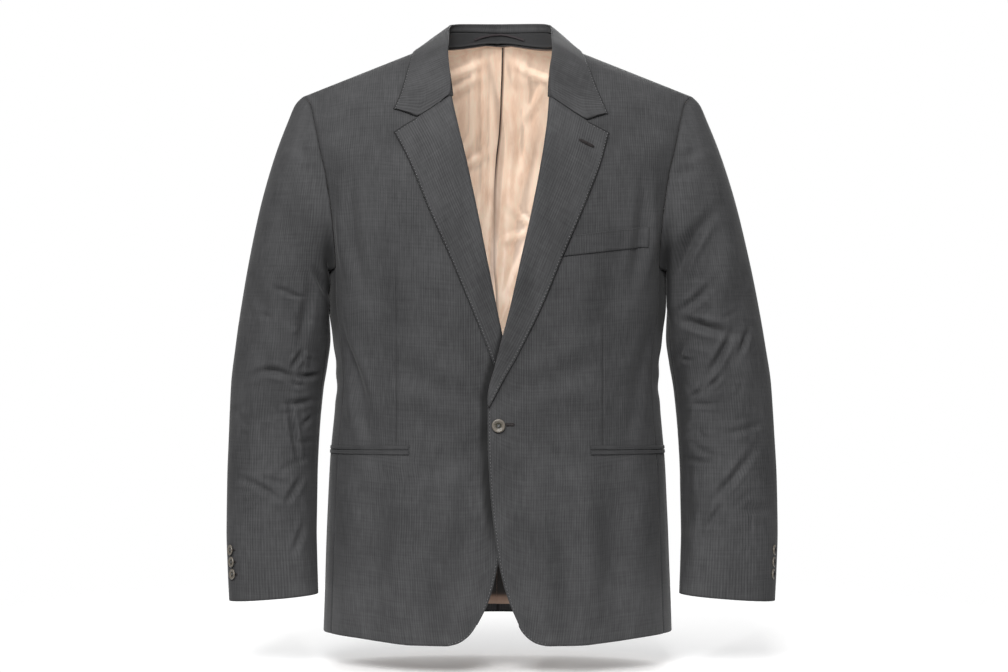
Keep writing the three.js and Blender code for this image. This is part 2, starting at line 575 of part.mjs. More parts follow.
// A dished button whose back is a clearance off the cloth
function button(name, sizes, place, off) {
  const { radius, thick, sides } = sizes;
  const profile = [
    [0, 0], [radius * 0.62, 0], [radius * 0.96, thick * 0.36], [radius, thick * 0.62],
    [radius * 0.84, thick], [radius * 0.6, thick * 0.84], [radius * 0.46, thick * 0.6], [0, thick * 0.56],
  ].map(([x, y]) => new THREE.Vector2(x, y));
  const geometry = new THREE.LatheGeometry(profile, sides);
  const turn = new THREE.Quaternion().setFromUnitVectors(new THREE.Vector3(0, 1, 0), place.normal);
  geometry.applyQuaternion(turn);
  geometry.translate(...raised(place, off).point.toArray());
  geometry.deleteAttribute("normal");
  geometry.deleteAttribute("uv");
  addPiece(name, mergeVertices(geometry, 0.001), HORN);
}

// The lapel: the front's facing, turned out along the roll line and laid on the front
const LAPEL_OFF = 3.1;
const LAPEL_ROWS = [0, 0.07, 0.15, 0.24, 0.33, 0.42, 0.51, 0.6, 0.69, 0.78, 0.87, 0.95, 1];
const LAPEL_COLUMNS = [0, 0.1, 0.28, 0.57, 0.8, 1];
const NOTCH_SHARE = LAPEL_COLUMNS[3];
const ROLL_LIFT = 3; // how far the roll stands off the chest
const GORGE_GAP = 0.8;

// How far the turned lapel or collar stands off the chest at a share of its width
const rollLift = (w) => LAPEL_OFF + ROLL_LIFT * (1 - ease(0, 0.45, w));

// The end of the gorge at the roll line
function gorgeTop(side) {
  const x = curve(side.opening, "x", "level")(GORGE_LEVEL) + 0.6;
  return { x, z: GORGE_LEVEL - section.drop(rowOf(GORGE_LEVEL)) * slopeRun(x) };
}

// A point of the gorge line and on past the notch to a tip, GORGE_GAP above or below it
function gorgePoint(side, tip, sign, w) {
  const top = gorgeTop(side);
  const inside = w <= NOTCH_SHARE;
  const t = inside ? w / NOTCH_SHARE : (w - NOTCH_SHARE) / (1 - NOTCH_SHARE);
  const [from, to] = inside ? [top, side.notch] : [side.notch, tip];
  const gap = sign * GORGE_GAP * (inside ? 1 : 1 - t);
  return { x: mix(from.x, to.x, t), z: mix(from.z, to.z, t) + gap };
}

function lapel(side) {
  const opening = curve(side.opening, "x", "level");
  const edge = curve(side.lapelEdge, "x", "z");
  const first = side.lapelEdge[0];
  const last = side.lapelEdge[side.lapelEdge.length - 1];
  const rollTop = gorgePoint(side, last, -1, 0);
  const rows = LAPEL_ROWS.map((v) => {
    const rollLevel = mix(BREAK_LEVEL + 2, GORGE_LEVEL, v);
    const edgeZ = mix(first.z, last.z, v);
    const rollX = opening(rollLevel) + 0.6;
    const drop = section.drop(rowOf(rollLevel)) * slopeRun(rollX);
    const rollZ = rollLevel - drop - GORGE_GAP * v;
    const bend = ease(0.8, 1, v);
    return LAPEL_COLUMNS.map((w) => {
      const top = gorgePoint(side, last, -1, w);
      const x = mix(rollX, edge(edgeZ), w) + bend * (top.x - mix(rollTop.x, last.x, w));
      const z = mix(rollZ, edgeZ, w) + bend * (top.z - mix(rollTop.z, last.z, w));
      const lift = (rollLift(w) - LAPEL_OFF) * ease(0.1, 0.5, v);
      const place = frontPlace(side, x, levelAt(x, z));
      return mirrored(raised(place, LAPEL_OFF + lift), side.sign);
    });
  });
  addPiece(`lapel_${side.name}`, wall(rows, FACING_CLOTH), CLOTH);
}

// The neck seam from the middle of the back to the gorge, on one side
function neckSeam(side) {
  const opening = curve(side.opening, "x", "level");
  const back = UPPER_LEVELS.filter((level) => level >= NAPE_LEVEL);
  const front = [...UPPER_LEVELS].reverse().filter((level) => level < SHOULDER_LEVEL && level > GORGE_LEVEL);
  const points = [
    ...back.map((level) => bodyPoint(1, level > NAPE_LEVEL ? backNeck(level) : 0, rowOf(level))),
    ...front.map((level) => bodyPoint(-1, opening(level), rowOf(level))),
    bodyPoint(-1, opening(GORGE_LEVEL + 2), rowOf(GORGE_LEVEL + 2)),
  ];
  const fine = points.flatMap((point, i) => {
    const next = points[i + 1];
    return next && point.distanceTo(next) > STATION_GAP ? [point, point.clone().lerp(next, 0.5)] : [point];
  });
  let run = 0;
  const runs = fine.map((point, i) => (run += i ? point.distanceTo(fine[i - 1]) : 0));
  return fine.map((point, i) => ({ point, at: runs[i] / run }));
}

const collarCurves = Object.fromEntries(
  ["rollX", "rollY", "rollZ", "edgeX", "over", "swell"].map((key) => [key, curve(COLLAR, key, "at")]),
);

// One station of the collar: its neck seam, its roll and its outer edge
function collarStation(side, seam, at) {
  const c = collarCurves;
  const widen = (side.collarTip.x - COLLAR[COLLAR.length - 1].edgeX) * ease(0.55, 1, at);
  const shift = COLLAR_SHIFT * side.sign;
  const roll = new THREE.Vector3(c.rollX(at) + shift, c.rollY(at), c.rollZ(at));
  const over = c.over(at);
  const edgeBody = bodyPlace(over > 0 ? 1 : -1, c.edgeX(at) + widen, TOP - Math.abs(over));
  return { side, at, seam, roll, edge: raised(edgeBody, LAPEL_OFF), swell: c.swell(at) };
}

const bezier = (a, b, c, d, t) => {
  const s = 1 - t;
  return a.clone().multiplyScalar(s * s * s)
    .addScaledVector(b, 3 * s * s * t)
    .addScaledVector(c, 3 * s * t * t)
    .addScaledVector(d, t * t * t);
};

// Normals of a free grid, from its own points
function withNormals(points) {
  const last = points.length - 1;
  return points.map((line, r) =>
    line.map((point, c) => {
      const along = line[Math.min(c + 1, line.length - 1)].clone().sub(line[Math.max(c - 1, 0)]);
      const down = points[Math.min(r + 1, last)][c].clone().sub(points[Math.max(r - 1, 0)][c]);
      return { point, normal: along.cross(down).normalize() };
    }),
  );
}

const LEAF_SHARES = [0, 0.07, 0.2, 0.38, NOTCH_SHARE, 0.8, 1];
const STAND_SHARES = [1, 0.5, 0];
const STAND_BACK = 0.97;
const STAND_SHORT = 0.72;
const LEAF_OFF = 3.3;
const ROLL_ROOM = 2.1; // between the stand and the leaf that caps it
const GORGE_MELT = 0.7; // from this share of the neck seam the leaf bends to the gorge line

function collar() {
  const [left, right] = SIDES.map((side) =>
    neckSeam(side).map(({ point, at }) => collarStation(side, point, at)),
  );
  const stations = [...right.slice(1).reverse(), ...left];
  const leaf = LEAF_SHARES.map((w) => stations.map((s) => onSide(s, leafPoint(s, w))));
  const stand = STAND_SHARES.map((w) => stations.map((s) => onSide(s, standPoint(s, w))));
  addPiece("collar_leaf", wall(withNormals(leaf), COLLAR_CLOTH), CLOTH);
  addPiece("collar_stand", wall(withNormals(stand), COLLAR_CLOTH), COLLAR_INSIDE);
  hangerLoop(stand[2], stand[0]);
}

const onSide = (station, point) => point.multiply(new THREE.Vector3(station.side.sign, 1, 1));

// Pushes a point out of the body until it is a distance off its surface
function clearOfBody(point, off) {
  for (let i = 0; i < 4; i++) {
    const row = rowOf(levelAt(point.x, point.z));
    const { point: on, normal } = bodyPlace(point.y > 0 ? 1 : -1, point.x, row);
    const away = point.clone().sub(on).dot(normal);
    if (away < off) point.addScaledVector(normal, off - away);
  }
  return point;
}

// The leaf starts as a cap over the stand, turns out and comes down on the body
function leafPoint(station, w) {
  const { side, at, seam, roll, edge, swell } = station;
  const up = roll.clone().sub(seam).normalize();
  const out = edge.point.clone().sub(roll).setZ(0).normalize();
  const top = roll.clone().addScaledVector(up, COLLAR_CLOTH + ROLL_ROOM);
  const start = top.clone().addScaledVector(out, swell + 2);
  const land = edge.point.clone().lerp(roll, 0.35).addScaledVector(edge.normal, swell);
  const free = bezier(top.addScaledVector(out, -COLLAR_CLOTH - 0.3), start, land, edge.point, w);
  const end = gorgePoint(side, side.collarTip, 1, w);
  const laid = raised(bodyPlace(-1, end.x, rowOf(levelAt(end.x, end.z))), rollLift(w)).point;
  const melt = clamp((at - GORGE_MELT) / (1 - GORGE_MELT), 0, 1) ** 1.5;
  return clearOfBody(free.lerp(laid, melt), LEAF_OFF);
}

// The stand stops short of the roll where the collar lies flatter, towards the gorge
function standPoint(station, w) {
  const { at, seam, roll } = station;
  const up = roll.clone().sub(seam).normalize();
  const foot = seam.clone().addScaledVector(up, 0.6);
  return foot.lerp(roll, w * mix(STAND_BACK, STAND_SHORT, ease(0.12, 0.4, at)));
}

// A narrow tape across the inside of the stand, a little higher in the middle
function hangerLoop(foot, roll) {
  const steps = Array.from({ length: LOOP.steps + 1 }, (_, i) => -1 + (2 * i) / LOOP.steps);
  const off = COLLAR_CLOTH + LOOP.off + LOOP.thick;
  const inward = new THREE.Vector3(0, -1, 0);
  const places = [1, 0].map((edge) =>
    steps.map((t) => {
      const x = t * LOOP.half + COLLAR_SHIFT / 2;
      const rise = mix(LOOP.high, LOOP.low, t * t) + (edge * LOOP.wide) / LOOP.standHeight;
      const line = foot.map((point, i) => point.clone().lerp(roll[i], rise));
      const i = line.findIndex((point, k) => point.y > 0 && line[k + 1].x >= x && point.x < x);
      const [from, to] = [line[i], line[i + 1]];
      const point = from.clone().lerp(to, (x - from.x) / (to.x - from.x));
      return { point: point.addScaledVector(inward, off), normal: inward };
    }),
  );
  addPiece("hanger_loop", wall(places, LOOP.thick), COLLAR_INSIDE);
}

// The ring of the body by turn: 0 at the middle of the front and 90 at the side
function ringPlace(turn, level) {
  const row = rowOf(level);
  const at = (a, b) => {
    const power = 2 / section.round(b);
    return new THREE.Vector3(
      section.half(b) * Math.sin(radians(a)) ** power,
      -section.front(b) * Math.cos(radians(a)) ** power,
      section.level(b),
    );
  };
  return { point: at(turn, row), normal: normalOf(at, turn, row, 0.5, 0.02) };
}

// A hip pocket: two jets with a slit between them, wrapped round to the side
function hipPocket(side) {
  const p = HIP_POCKET;
  const shares = Array.from({ length: p.steps + 1 }, (_, i) => i / p.steps);
  for (const [name, sign] of [["upper", 1], ["lower", -1]]) {
    const grid = [0, 1].map((edge) =>
      shares.map((share) => {
        const rise = sign * (p.slit / 2 + edge * mix(p.jet, p.jetOut, share));
        const place = ringPlace(mix(side.pocketTurn, p.outer, share), p.level - p.fall * share + rise);
        return mirrored(raised(place, LAID_ON + WELT_CLOTH), side.sign);
      }),
    );
    addPiece(`pocket_jet_${name}_${side.name}`, wall(grid, WELT_CLOTH), CLOTH);
  }
}

// The breast welt on the wearer's left, one end tucked under the lapel
function breastWelt() {
  const w = BREAST_WELT;
  const lapelEdge = curve([...LEFT_LAPEL_EDGE], "x", "z");
  const grid = [-0.5, 0, 0.5].map((rise) => {
    const innerX = lapelEdge(w.innerZ + rise * w.high) + LAPEL_CLEAR;
    return Array.from({ length: w.steps + 1 }, (_, i) => {
      const share = i / w.steps;
      const x = mix(innerX, w.outerX + rise * w.lean, share);
      const z = mix(w.innerZ, w.outerZ, share) + rise * w.high;
      return raised(frontPlace(SIDES[0], x, levelAt(x, z)), LAID_ON + WELT_CLOTH);
    });
  });
  addPiece("breast_welt", wall(grid, WELT_CLOTH), CLOTH);
}

// The lining of the back, with a pleat down the middle where its right half laps the left
function backLining(side) {
  const pleat = (level) => mix(PLEAT.foot, PLEAT.top, ease(PLEAT.footLevel, 0, level));
  const fold = (level) => (side.sign > 0 ? pleat(level) + 0.5 : -pleat(level) - PLEAT.lap);
  const start = (level) => Math.max(fold(level), level > NAPE_LEVEL ? backNeck(level) : -99);
  const hem = (share) => backHem(share) + LINING_HEM;
  const grid = backGrid(BACK_COLUMNS, hem, (foot) => panelLevels(foot, true), start, -BODY_CLOTH - LINING_GAP);
  const lap = grid.map((line, r) =>
    line.map((place) => {
      const lift = side.sign > 0 ? 0 : PLEAT.lift * (1 - ease(6, 26, place.point.x));
      const seam = 1.2 * ease(14, 18, r);
      return mirrored(raised(place, -lift - seam), side.sign);
    }),
  );
  addPiece(`lining_${side.name}`, wall(trimmed(lap, () => 0.3), LINING_CLOTH), SATIN);
}

for (const side of SIDES) {
  frontPanel(side);
  backPanel(side);
  sidePanel(side);
  sleeve(side, side.sign > 0 ? LEFT_CREASES : RIGHT_CREASES);
  lapel(side);
  hipPocket(side);
  backLining(side);
}
collar();
breastWelt();
const buttonPlace = frontPlace(SIDES[0], FRONT_BUTTON.x, FRONT_BUTTON.level);
button("front_button", FRONT_BUTTON, buttonPlace, BUTTON_OFF);

export default jacket;
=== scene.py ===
"""Looks of a one-button suit jacket that hangs as if worn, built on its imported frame.

Shapes are worked out in millimetres and turned into metres when a mesh is made.
+X is the wearer's left, -Y the front and +Z up.
"""

import math

import bpy
import numpy as np
from bpy.props import FloatProperty, FloatVectorProperty, IntProperty, PointerProperty
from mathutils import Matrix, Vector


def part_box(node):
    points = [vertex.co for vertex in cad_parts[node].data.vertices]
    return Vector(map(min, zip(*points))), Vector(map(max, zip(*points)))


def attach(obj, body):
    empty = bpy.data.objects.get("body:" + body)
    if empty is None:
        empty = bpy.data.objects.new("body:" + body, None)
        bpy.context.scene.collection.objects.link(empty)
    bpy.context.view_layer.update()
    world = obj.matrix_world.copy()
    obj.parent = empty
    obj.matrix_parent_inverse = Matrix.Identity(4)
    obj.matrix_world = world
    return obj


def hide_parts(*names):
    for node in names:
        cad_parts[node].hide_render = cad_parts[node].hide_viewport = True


bl_info = {
    "name": "Suit Jacket",
    "version": (1, 0, 0),
    "blender": (4, 5, 0),
    "location": "3D View > Sidebar > Jacket",
    "description": "Cloth, lining, buttons and sewing of a one-button suit jacket",
    "category": "Add Mesh",
}

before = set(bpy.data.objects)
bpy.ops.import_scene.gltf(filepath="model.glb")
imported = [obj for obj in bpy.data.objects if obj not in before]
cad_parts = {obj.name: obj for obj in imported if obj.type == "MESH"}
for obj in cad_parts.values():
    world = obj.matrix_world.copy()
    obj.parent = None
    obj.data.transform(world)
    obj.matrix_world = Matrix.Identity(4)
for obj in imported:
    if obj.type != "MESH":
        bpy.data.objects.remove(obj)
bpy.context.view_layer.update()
MM = 0.001

# Cloth thicknesses and how far pieces lie off each other
BODY_CLOTH = 2.0
SLEEVE_CLOTH = 1.6
FACING_CLOTH = 2.0
COLLAR_CLOTH = 2.0
WELT_CLOTH = 1.3
JET_CLOTH = 0.8
WELT_OFF = 1.7
JET_OFF = 1.1
LINING_CLOTH = 0.5
SEAM_GAP = 0.1
RIM_WIDTH = 1.5  # how far in from an edge its painted shade reaches
RIM_STEPS = 4  # facets round an edge
SEAM_RIM = 0.3  # these say how dark the painted shade along the edges of each kind of piece is, up to 1
SLEEVE_RIM = 0.4
POCKET_RIM = 0.35
LEAF_RIM = 0.9
LINING_RIM = 0.8
CELL = 4.0  # usual spacing of the points of a sheet
SIDE_COLUMNS = 26  # points across a side body, which the foot of the armhole shares

# Lengths down the body
SIDE_HEM = -755
SIDE_HEM_SAG = 1.5
BACK_HEM_LIFT = 6
HEM_LAP = 1.2
# Below this level the painted shade along the edges of a back is full.
HEM_RIM_LEVEL = -690
SKIRT_LEVEL = -640
UNDERARM_LEVEL = -288
ARMHOLE_DIP = 6
NAPE_LEVEL = 13
SHOULDER_LEVEL = 29
CREST_SOFTNESS = 20


def table(columns, *rows):
    """Rows of a short table as dicts, with the columns' names in one line."""
    return [dict(zip(columns.split(), row)) for row in rows]


# Rings of the body from hem to shoulder seam: height in the middle, fall outwards, half width, depth in
# front and behind, roundness, and how far out the armhole or side seam lies
SECTIONS = table(
    "level drop half front back round arm",
    (-762, 0, 226, 120, 124, 2.25, 212.4),
    (-650, 0, 222, 120, 126, 2.25, 208.7),
    (-540, 0, 217.5, 118, 117, 2.25, 204.5),
    (-435, 0, 209, 114, 101, 2.25, 196.5),
    (-375, 0, 214, 120, 106, 2.3, 201.2),
    (-335, 0, 218.8, 123.5, 112, 2.3, 205.7),
    (-288, 0, 219.5, 127, 121, 2.35, 206.3),
    (-225, 0.04, 229, 128, 129, 2.35, 209.5),
    (-150, 0.12, 244, 119, 127, 2.35, 217.5),
    (-88, 0.22, 257, 103, 112, 2.3, 227),
    (-32, 0.31, 264, 80, 94, 2.2, 235),
    (4, 0.365, 267, 56, 77, 2.0, 241),
    (18.5, 0.385, 268, 36, 56, 2.0, 246.5),
    (26.3, 0.395, 268, 18, 29, 2.0, 250.5),
    (29, 0.398, 268, 0, 0, 2.0, 253),
)
TOP = len(SECTIONS) - 1

# Where each front ends towards the centre, and the outer edges of the lapels
LEFT_OPENING = table(
    "level x",
    (-735, 27), (-711, 16.5), (-684, 7.5), (-655, 1.2), (-608, -5), (-560, -9.5), (-500, -12),
    (-458, -12), (-405, -0.4), (-334, 17.6), (-279, 29.8), (-223, 42), (-155, 54.5), (-100, 62),
    (-64, 65), (-20, 68), (3, 72), (18, 77), (29, 83),
)
RIGHT_OPENING = table(
    "level x",
    (-735, 24.5), (-711, 12.5), (-684, 4), (-655, -2), (-608, -10), (-560, -16), (-500, -21),
    (-458, -22), (-405, -12.5), (-334, 2.2), (-279, 13), (-223, 24), (-155, 38), (-100, 50),
    (-64, 57), (-20, 63), (3, 69), (18, 75.5), (29, 83),
)
QUARTER = table(
    "x level",
    (25.5, -735), (31, -744), (39, -752.5), (50, -759), (64, -762), (90, -763), (118, -761.5),
    (148, -759), (187, -756), (230, -755),
)
LEFT_LAPEL_EDGE = table(
    "z x",
    (-465, -10.5), (-456, -5.5), (-429, 8.7), (-384, 33.5), (-334, 57.5), (-279, 80),
    (-208, 110.5), (-155, 131), (-119, 141),
)
RIGHT_LAPEL_EDGE = table(
    "z x",
    (-465, -20), (-456, -16.5), (-413, 3.8), (-372, 20), (-322, 40), (-279, 58),
    (-217, 85), (-155, 111), (-119, 130),
)
UNDERLAP = table(
    "level sink",
    (-762, 4.5), (-600, 5.5), (-520, 7), (-455, 9), (-370, 8), (-310, 3.5), (-240, 0), (29, 0),
)
OVERLAP_FULL = 6.5  # how far out from the edge of the upper front the shade on the under one is full
OVERLAP_REACH = 12.5
UNDERLAP_FULL = 12
UNDERLAP_NONE = 62
BREAK_LEVEL = -466
GORGE_LEVEL = -64
NECK = table("level x", (NAPE_LEVEL, 0), (17.5, 36), (22.5, 61), (26.3, 74), (SHOULDER_LEVEL, 83))

# The sleeve by rings from armhole to cuff: its outer and inner edges, middle and half depth, and the
# turns of its seams behind and in front
SLEEVE = table(
    "outX outZ inX inZ midY deep hind fore",
    (253, -66, 219, -290, 2, 70, -108, 145),
    (262, -75, 221.5, -294, 2, 71, -106, 145.5),
    (274, -102, 222.5, -300, 2, 72, -102, 146.5),
    (290, -143, 223, -312, 3, 72, -96, 148),
    (308, -202, 222, -328, 4, 72, -88, 150),
    (322.5, -263, 220.5, -350, 5, 70, -76, 153),
    (335, -326, 219.5, -378, 6, 67, -62, 156),
    (345, -386, 223.5, -410, 6, 62, -48, 159),
    (352, -440, 229.5, -446, 4, 57, -36, 162),
    (354.5, -500, 234, -500, -4, 51, -24, 165),
    (356, -560, 236, -557, -15, 45, -14, 168),
    (355.5, -622, 236, -616, -28, 39, -6, 171),
    (353, -670, 234.5, -662, -37, 35.5, -1, 173),
    (350, -713, 232.5, -704, -45, 33, 2, 175),
)
CUFF = len(SLEEVE) - 1
SLEEVE_ROUND = 2.1
HUG = {"start": 1.2, "full": 3.4, "fade": 4.6, "none": 6.4, "deep": 13, "atY": -43, "wide": 22}
ARMHOLE_FADE = 3.5
ARMPIT_LINE = ((-400, -340, -300, -260, -200), (213, 213, 213, 215, 219))
ARMPIT_SHADE = 1.3
ARMPIT_REACH = 9
INNER_BAND = {"high": -405, "low": -690, "wide": 13, "soft": 6}
CRUMPLES = {"count": 44, "x": (232, 335), "z": (-650, -290)}
SLEEVE_FOLD_GAIN = 1.8
BODY_FOLD_GAIN = 2.1

# The collar from the middle of the back to the gorge: its roll, its outer edge as an x and as rows over
# the shoulder seam, and how far it swells between them
COLLAR = table(
    "at rollX rollY rollZ edgeX over swell",
    (0, 0, 66, 35.5, 0, 3.5, 6),
    (0.14, 28, 62, 35.3, 30, 3.4, 6),
    (0.28, 53, 48, 33.5, 64, 2.8, 5),
    (0.39, 64, 27, 29, 90, 1.3, 3),
    (0.464, 66.5, 7, 23.5, 103, 0.1, 2),
    (0.53, 67, -10, 16.5, 107, -0.9, 2),
    (0.6, 66.5, -28, 8.5, 110, -1.8, 2),
    (0.72, 65, -62, -10, 114.5, -3, 2.5),
    (0.84, 62.5, -85, -34, 121, -3.8, 3),
    (0.94, 61, -93.5, -58, 130, -4.3, 2.5),
    (1, 61.3, -96, -74.5, 136, -4.57, 2),
)
COLLAR_SHIFT = 4
LAPEL_OFF = 3.1
ROLL_LIFT = 3
LEAF_OFF = 3.3
LEAF_TIP_COLUMNS = 14
CREST_CLOSER = 0.9  # how much nearer the collar lies where it crosses the shoulder
CLEAR_ROWS = (0, 0.08, 0.2, 0.4, 0.7, 1.1, 1.6)
ROLL_ROOM = 2.1
STAND_SHORT = 0.72  # share of its height that the stand keeps towards the gorge
GORGE_MELT = 0.7
GORGE_GAP = 0.4
# How dark the painted shade is along the gorge and the roll.
GORGE_RIM = 0.25
NOTCH_SHARE = 0.57
COLLAR_MIDDLE = np.array([0, 0, -60])  # a point that the outside of the leaf faces away from

# How the rolled edge of lapel and collar wraps the neckline
ROLL_INSET = 2.6  # middle of the roll, in from the edge of the neckline
ROLL_REACH = 3.0
ROLL_UNDER = 1.0  # how far its turned end lies under the cloth
FLAP = 8.6  # height of the turned-in part of the collar above its seam with the stand
FLAP_IN = 1.6  # how far inside the roll line that part stands
STAND_FOOT = 0.6  # how far the stand reaches below the neck seam, over the lining

DART_FOOT = -508
HIP_POCKET = {"level": -517.8, "fall": 3, "outer": 84, "jet": 5.8, "jetOut": 4.6, "slit": 0.7}
BREAST_WELT = {"outerX": 189, "innerZ": -263, "outerZ": -250, "high": 26, "lean": 2}
LINING_GAP = 0.9
LINING_FOLD_GAIN = 2.0
HOLLOW_SHADE = 0.4
LINING_HEM = 11
PLEAT = {"lap": 6, "lift": 3.0}
PLEAT_LINE = table(
    "level x",
    (-755, -2), (-400, -2), (-314, -3.4), (-283, -6.1), (-191, -6.1), (-136, -3.4),
    (-94, 1.2), (-41, 3.9), (20, 5.5),
)


def fold_table(*rows):
    """Folds of cloth: where the middle lies, half sizes in mm, slant in degrees from level, bend, and
    how far it sinks."""
    return table("x z along across tilt bow deep", *rows)


# Folds of the body's cloth
LEFT_FRONT_FOLDS = fold_table(
    (196, -250, 46, 9, 86, 0.3, -3.2),
    (183, -238, 52, 8, 84, 0.2, 1.8),
    (190, -395, 60, 10, 66, 0.3, 1.6),
    (178, -450, 50, 9, 74, -0.3, 1.4),
    (70, -430, 60, 14, 22, 0.3, 1.2),
    (60, -520, 70, 14, -28, 0.2, 1.0),
    (150, -640, 95, 20, 88, 0.2, 2.4),
    (84, -620, 100, 18, 96, -0.2, 2.0),
    (112, -690, 70, 16, 84, 0.2, -1.6),
    (38, -640, 70, 12, 98, 0.1, 1.4),
    (165, -120, 60, 22, 30, 0.2, 1.4),
    (140, -330, 70, 20, 76, 0.1, 1.0),
)
RIGHT_FRONT_FOLDS = fold_table(
    (197, -252, 44, 9, 84, 0.3, -3.0),
    (184, -236, 50, 8, 86, 0.2, 1.6),
    (196, -388, 56, 8, 72, 0.3, 2.4),
    (184, -420, 60, 9, 66, -0.3, 2.0),
    (172, -470, 46, 8, 76, 0.2, 1.6),
    (198, -450, 40, 7, 70, 0.2, -1.4),
    (60, -445, 60, 14, 20, 0.3, 1.4),
    (54, -530, 70, 14, -30, 0.2, 1.2),
    (96, -600, 110, 17, 91, 0.15, 2.6),
    (158, -650, 90, 20, 93, 0.2, 2.2),
    (70, -690, 60, 16, 62, 0.3, -1.6),
    (40, -600, 80, 13, 100, 0.1, 1.6),
    (168, -120, 60, 22, 28, 0.2, 1.4),
    (150, -330, 70, 20, 78, 0.1, 1.0),
)
BACK_FOLDS = fold_table(
    (178, -215, 80, 14, 82, 0.3, 3.2),
    (196, -250, 60, 10, 84, 0.3, -2.6),
    (60, -432, 80, 12, 8, 0.3, 2.4),
    (120, -450, 70, 11, -14, 0.3, 2.2),
    (150, -410, 60, 10, 18, -0.2, 1.8),
    (40, -475, 60, 12, -6, -0.3, 1.6),
    (70, -640, 110, 20, 90, 0.1, 2.6),
    (140, -650, 100, 20, 88, 0.15, 2.4),
    (105, -600, 90, 16, 91, 0.1, -1.6),
    (60, -30, 50, 12, -8, 0.3, 1.6),
    (120, -90, 70, 16, 24, 0.2, 1.8),
)
SIDE_FOLDS = fold_table(
    (12, -400, 40, 10, 20, 0.3, 1.0),
    (-18, -440, 40, 10, -16, 0.3, 1.0),
    (-20, -640, 90, 14, 88, 0.1, 1.4),
    (26, -620, 90, 13, 92, 0.1, 1.2),
)

# Folds of the sleeves' front and back halves, placed by x and z as the body's are
LEFT_SLEEVE_FOLDS = fold_table(
    (254, -141, 13, 5, 28, 0, 1.4),
    (240, -171, 17, 5, 22, 0, 1.6),
    (242, -264, 36, 7, 64, -0.5, 5.0),
    (265, -364, 25, 5.5, -16, 0.1, 4.2),
    (286, -397, 22, 4.6, 61, 0.1, 3.8),
    (315, -383, 14, 3.6, 70, 0, 2.6),
    (232, -398, 16, 4.6, 71, 0, 2.8),
    (240, -405, 9, 2.8, -20, 0.6, 1.8),
    (251, -330, 26, 5, 40, 0.3, 2.0),
    (277, -434, 10, 3.2, 48, 0, 2.4),
    (255, -449, 9, 3, 45, 0.5, 2.2),
    (264, -462, 17, 3, 0, 0.2, 2.4),
    (312, -495, 22, 4, 12, 0.2, 1.9),
    (256, -535, 16, 3.2, -4, 0.4, 2.6),
    (301, -554, 36, 5, 50, 0.1, 2.6),
    (242, -568, 20, 5, 85, 0, 2.2),
    (330, -596, 22, 5, -3, 0.2, 1.4),
    (277, -603, 15, 4, 60, 0.2, 1.9),
    (244, -622, 18, 5, 80, 0.2, 2.4),
    (290, -300, 60, 14, 78, 0.1, -2.0),
    (318, -440, 60, 12, 84, 0.1, -1.4),
    (288, -660, 50, 14, 88, 0.1, -1.2),
)
RIGHT_SLEEVE_FOLDS = fold_table(
    (250, -140, 15, 6, 30, 0, 1.2),
    (224, -307, 17, 4.5, 67, 0.2, 3.6),
    (283, -420, 22, 4.6, 10, -1.2, 3.4),
    (255, -405, 10, 3.2, 124, 0, 2.6),
    (240, -426, 13, 3.2, -5, 0.2, 3.4),
    (258, -437, 9, 3, 20, 0.5, 2.2),
    (251, -460, 18, 3.6, -8, 0.3, 3.4),
    (260, -496, 28, 3.6, 81, 0, 2.8),
    (241, -482, 9, 3.2, 142, 0, 2.6),
    (241, -510, 10, 3.2, -10, 0.3, 2.4),
    (300, -568, 27, 4.2, 28, -0.7, 2.3),
    (282, -560, 16, 3, 13, 0, 1.4),
    (259, -571, 17, 4, 121, 0.1, 2.2),
    (252, -633, 17, 4.4, 110, 0, 1.9),
    (245, -350, 34, 6, 100, 0.1, 2.4),
    (302, -330, 36, 8, 70, 0.1, 1.2),
    (310, -470, 70, 12, 88, 0.1, -1.6),
    (285, -380, 60, 14, 84, 0.1, -1.6),
    (290, -650, 60, 14, 92, 0.1, -1.2),
)
BACK_SLEEVE_FOLDS = fold_table(
    (262, -190, 30, 8, -40, 0.2, 1.8),
    (250, -290, 36, 8, 112, 0.2, 3.2),
    (270, -372, 26, 6, 14, 0.4, 3.0),
    (300, -400, 24, 5, -30, 0.3, 2.8),
    (262, -424, 22, 5, -8, 0.5, 3.0),
    (288, -452, 24, 5, 22, -0.4, 2.6),
    (252, -470, 18, 4, 70, 0.2, 2.2),
    (310, -486, 24, 5, -14, 0.3, 2.2),
    (276, -530, 28, 6, 64, 0.2, 2.2),
    (300, -590, 30, 7, 82, 0.1, 1.8),
    (262, -620, 26, 6, 100, 0.1, 1.8),
)

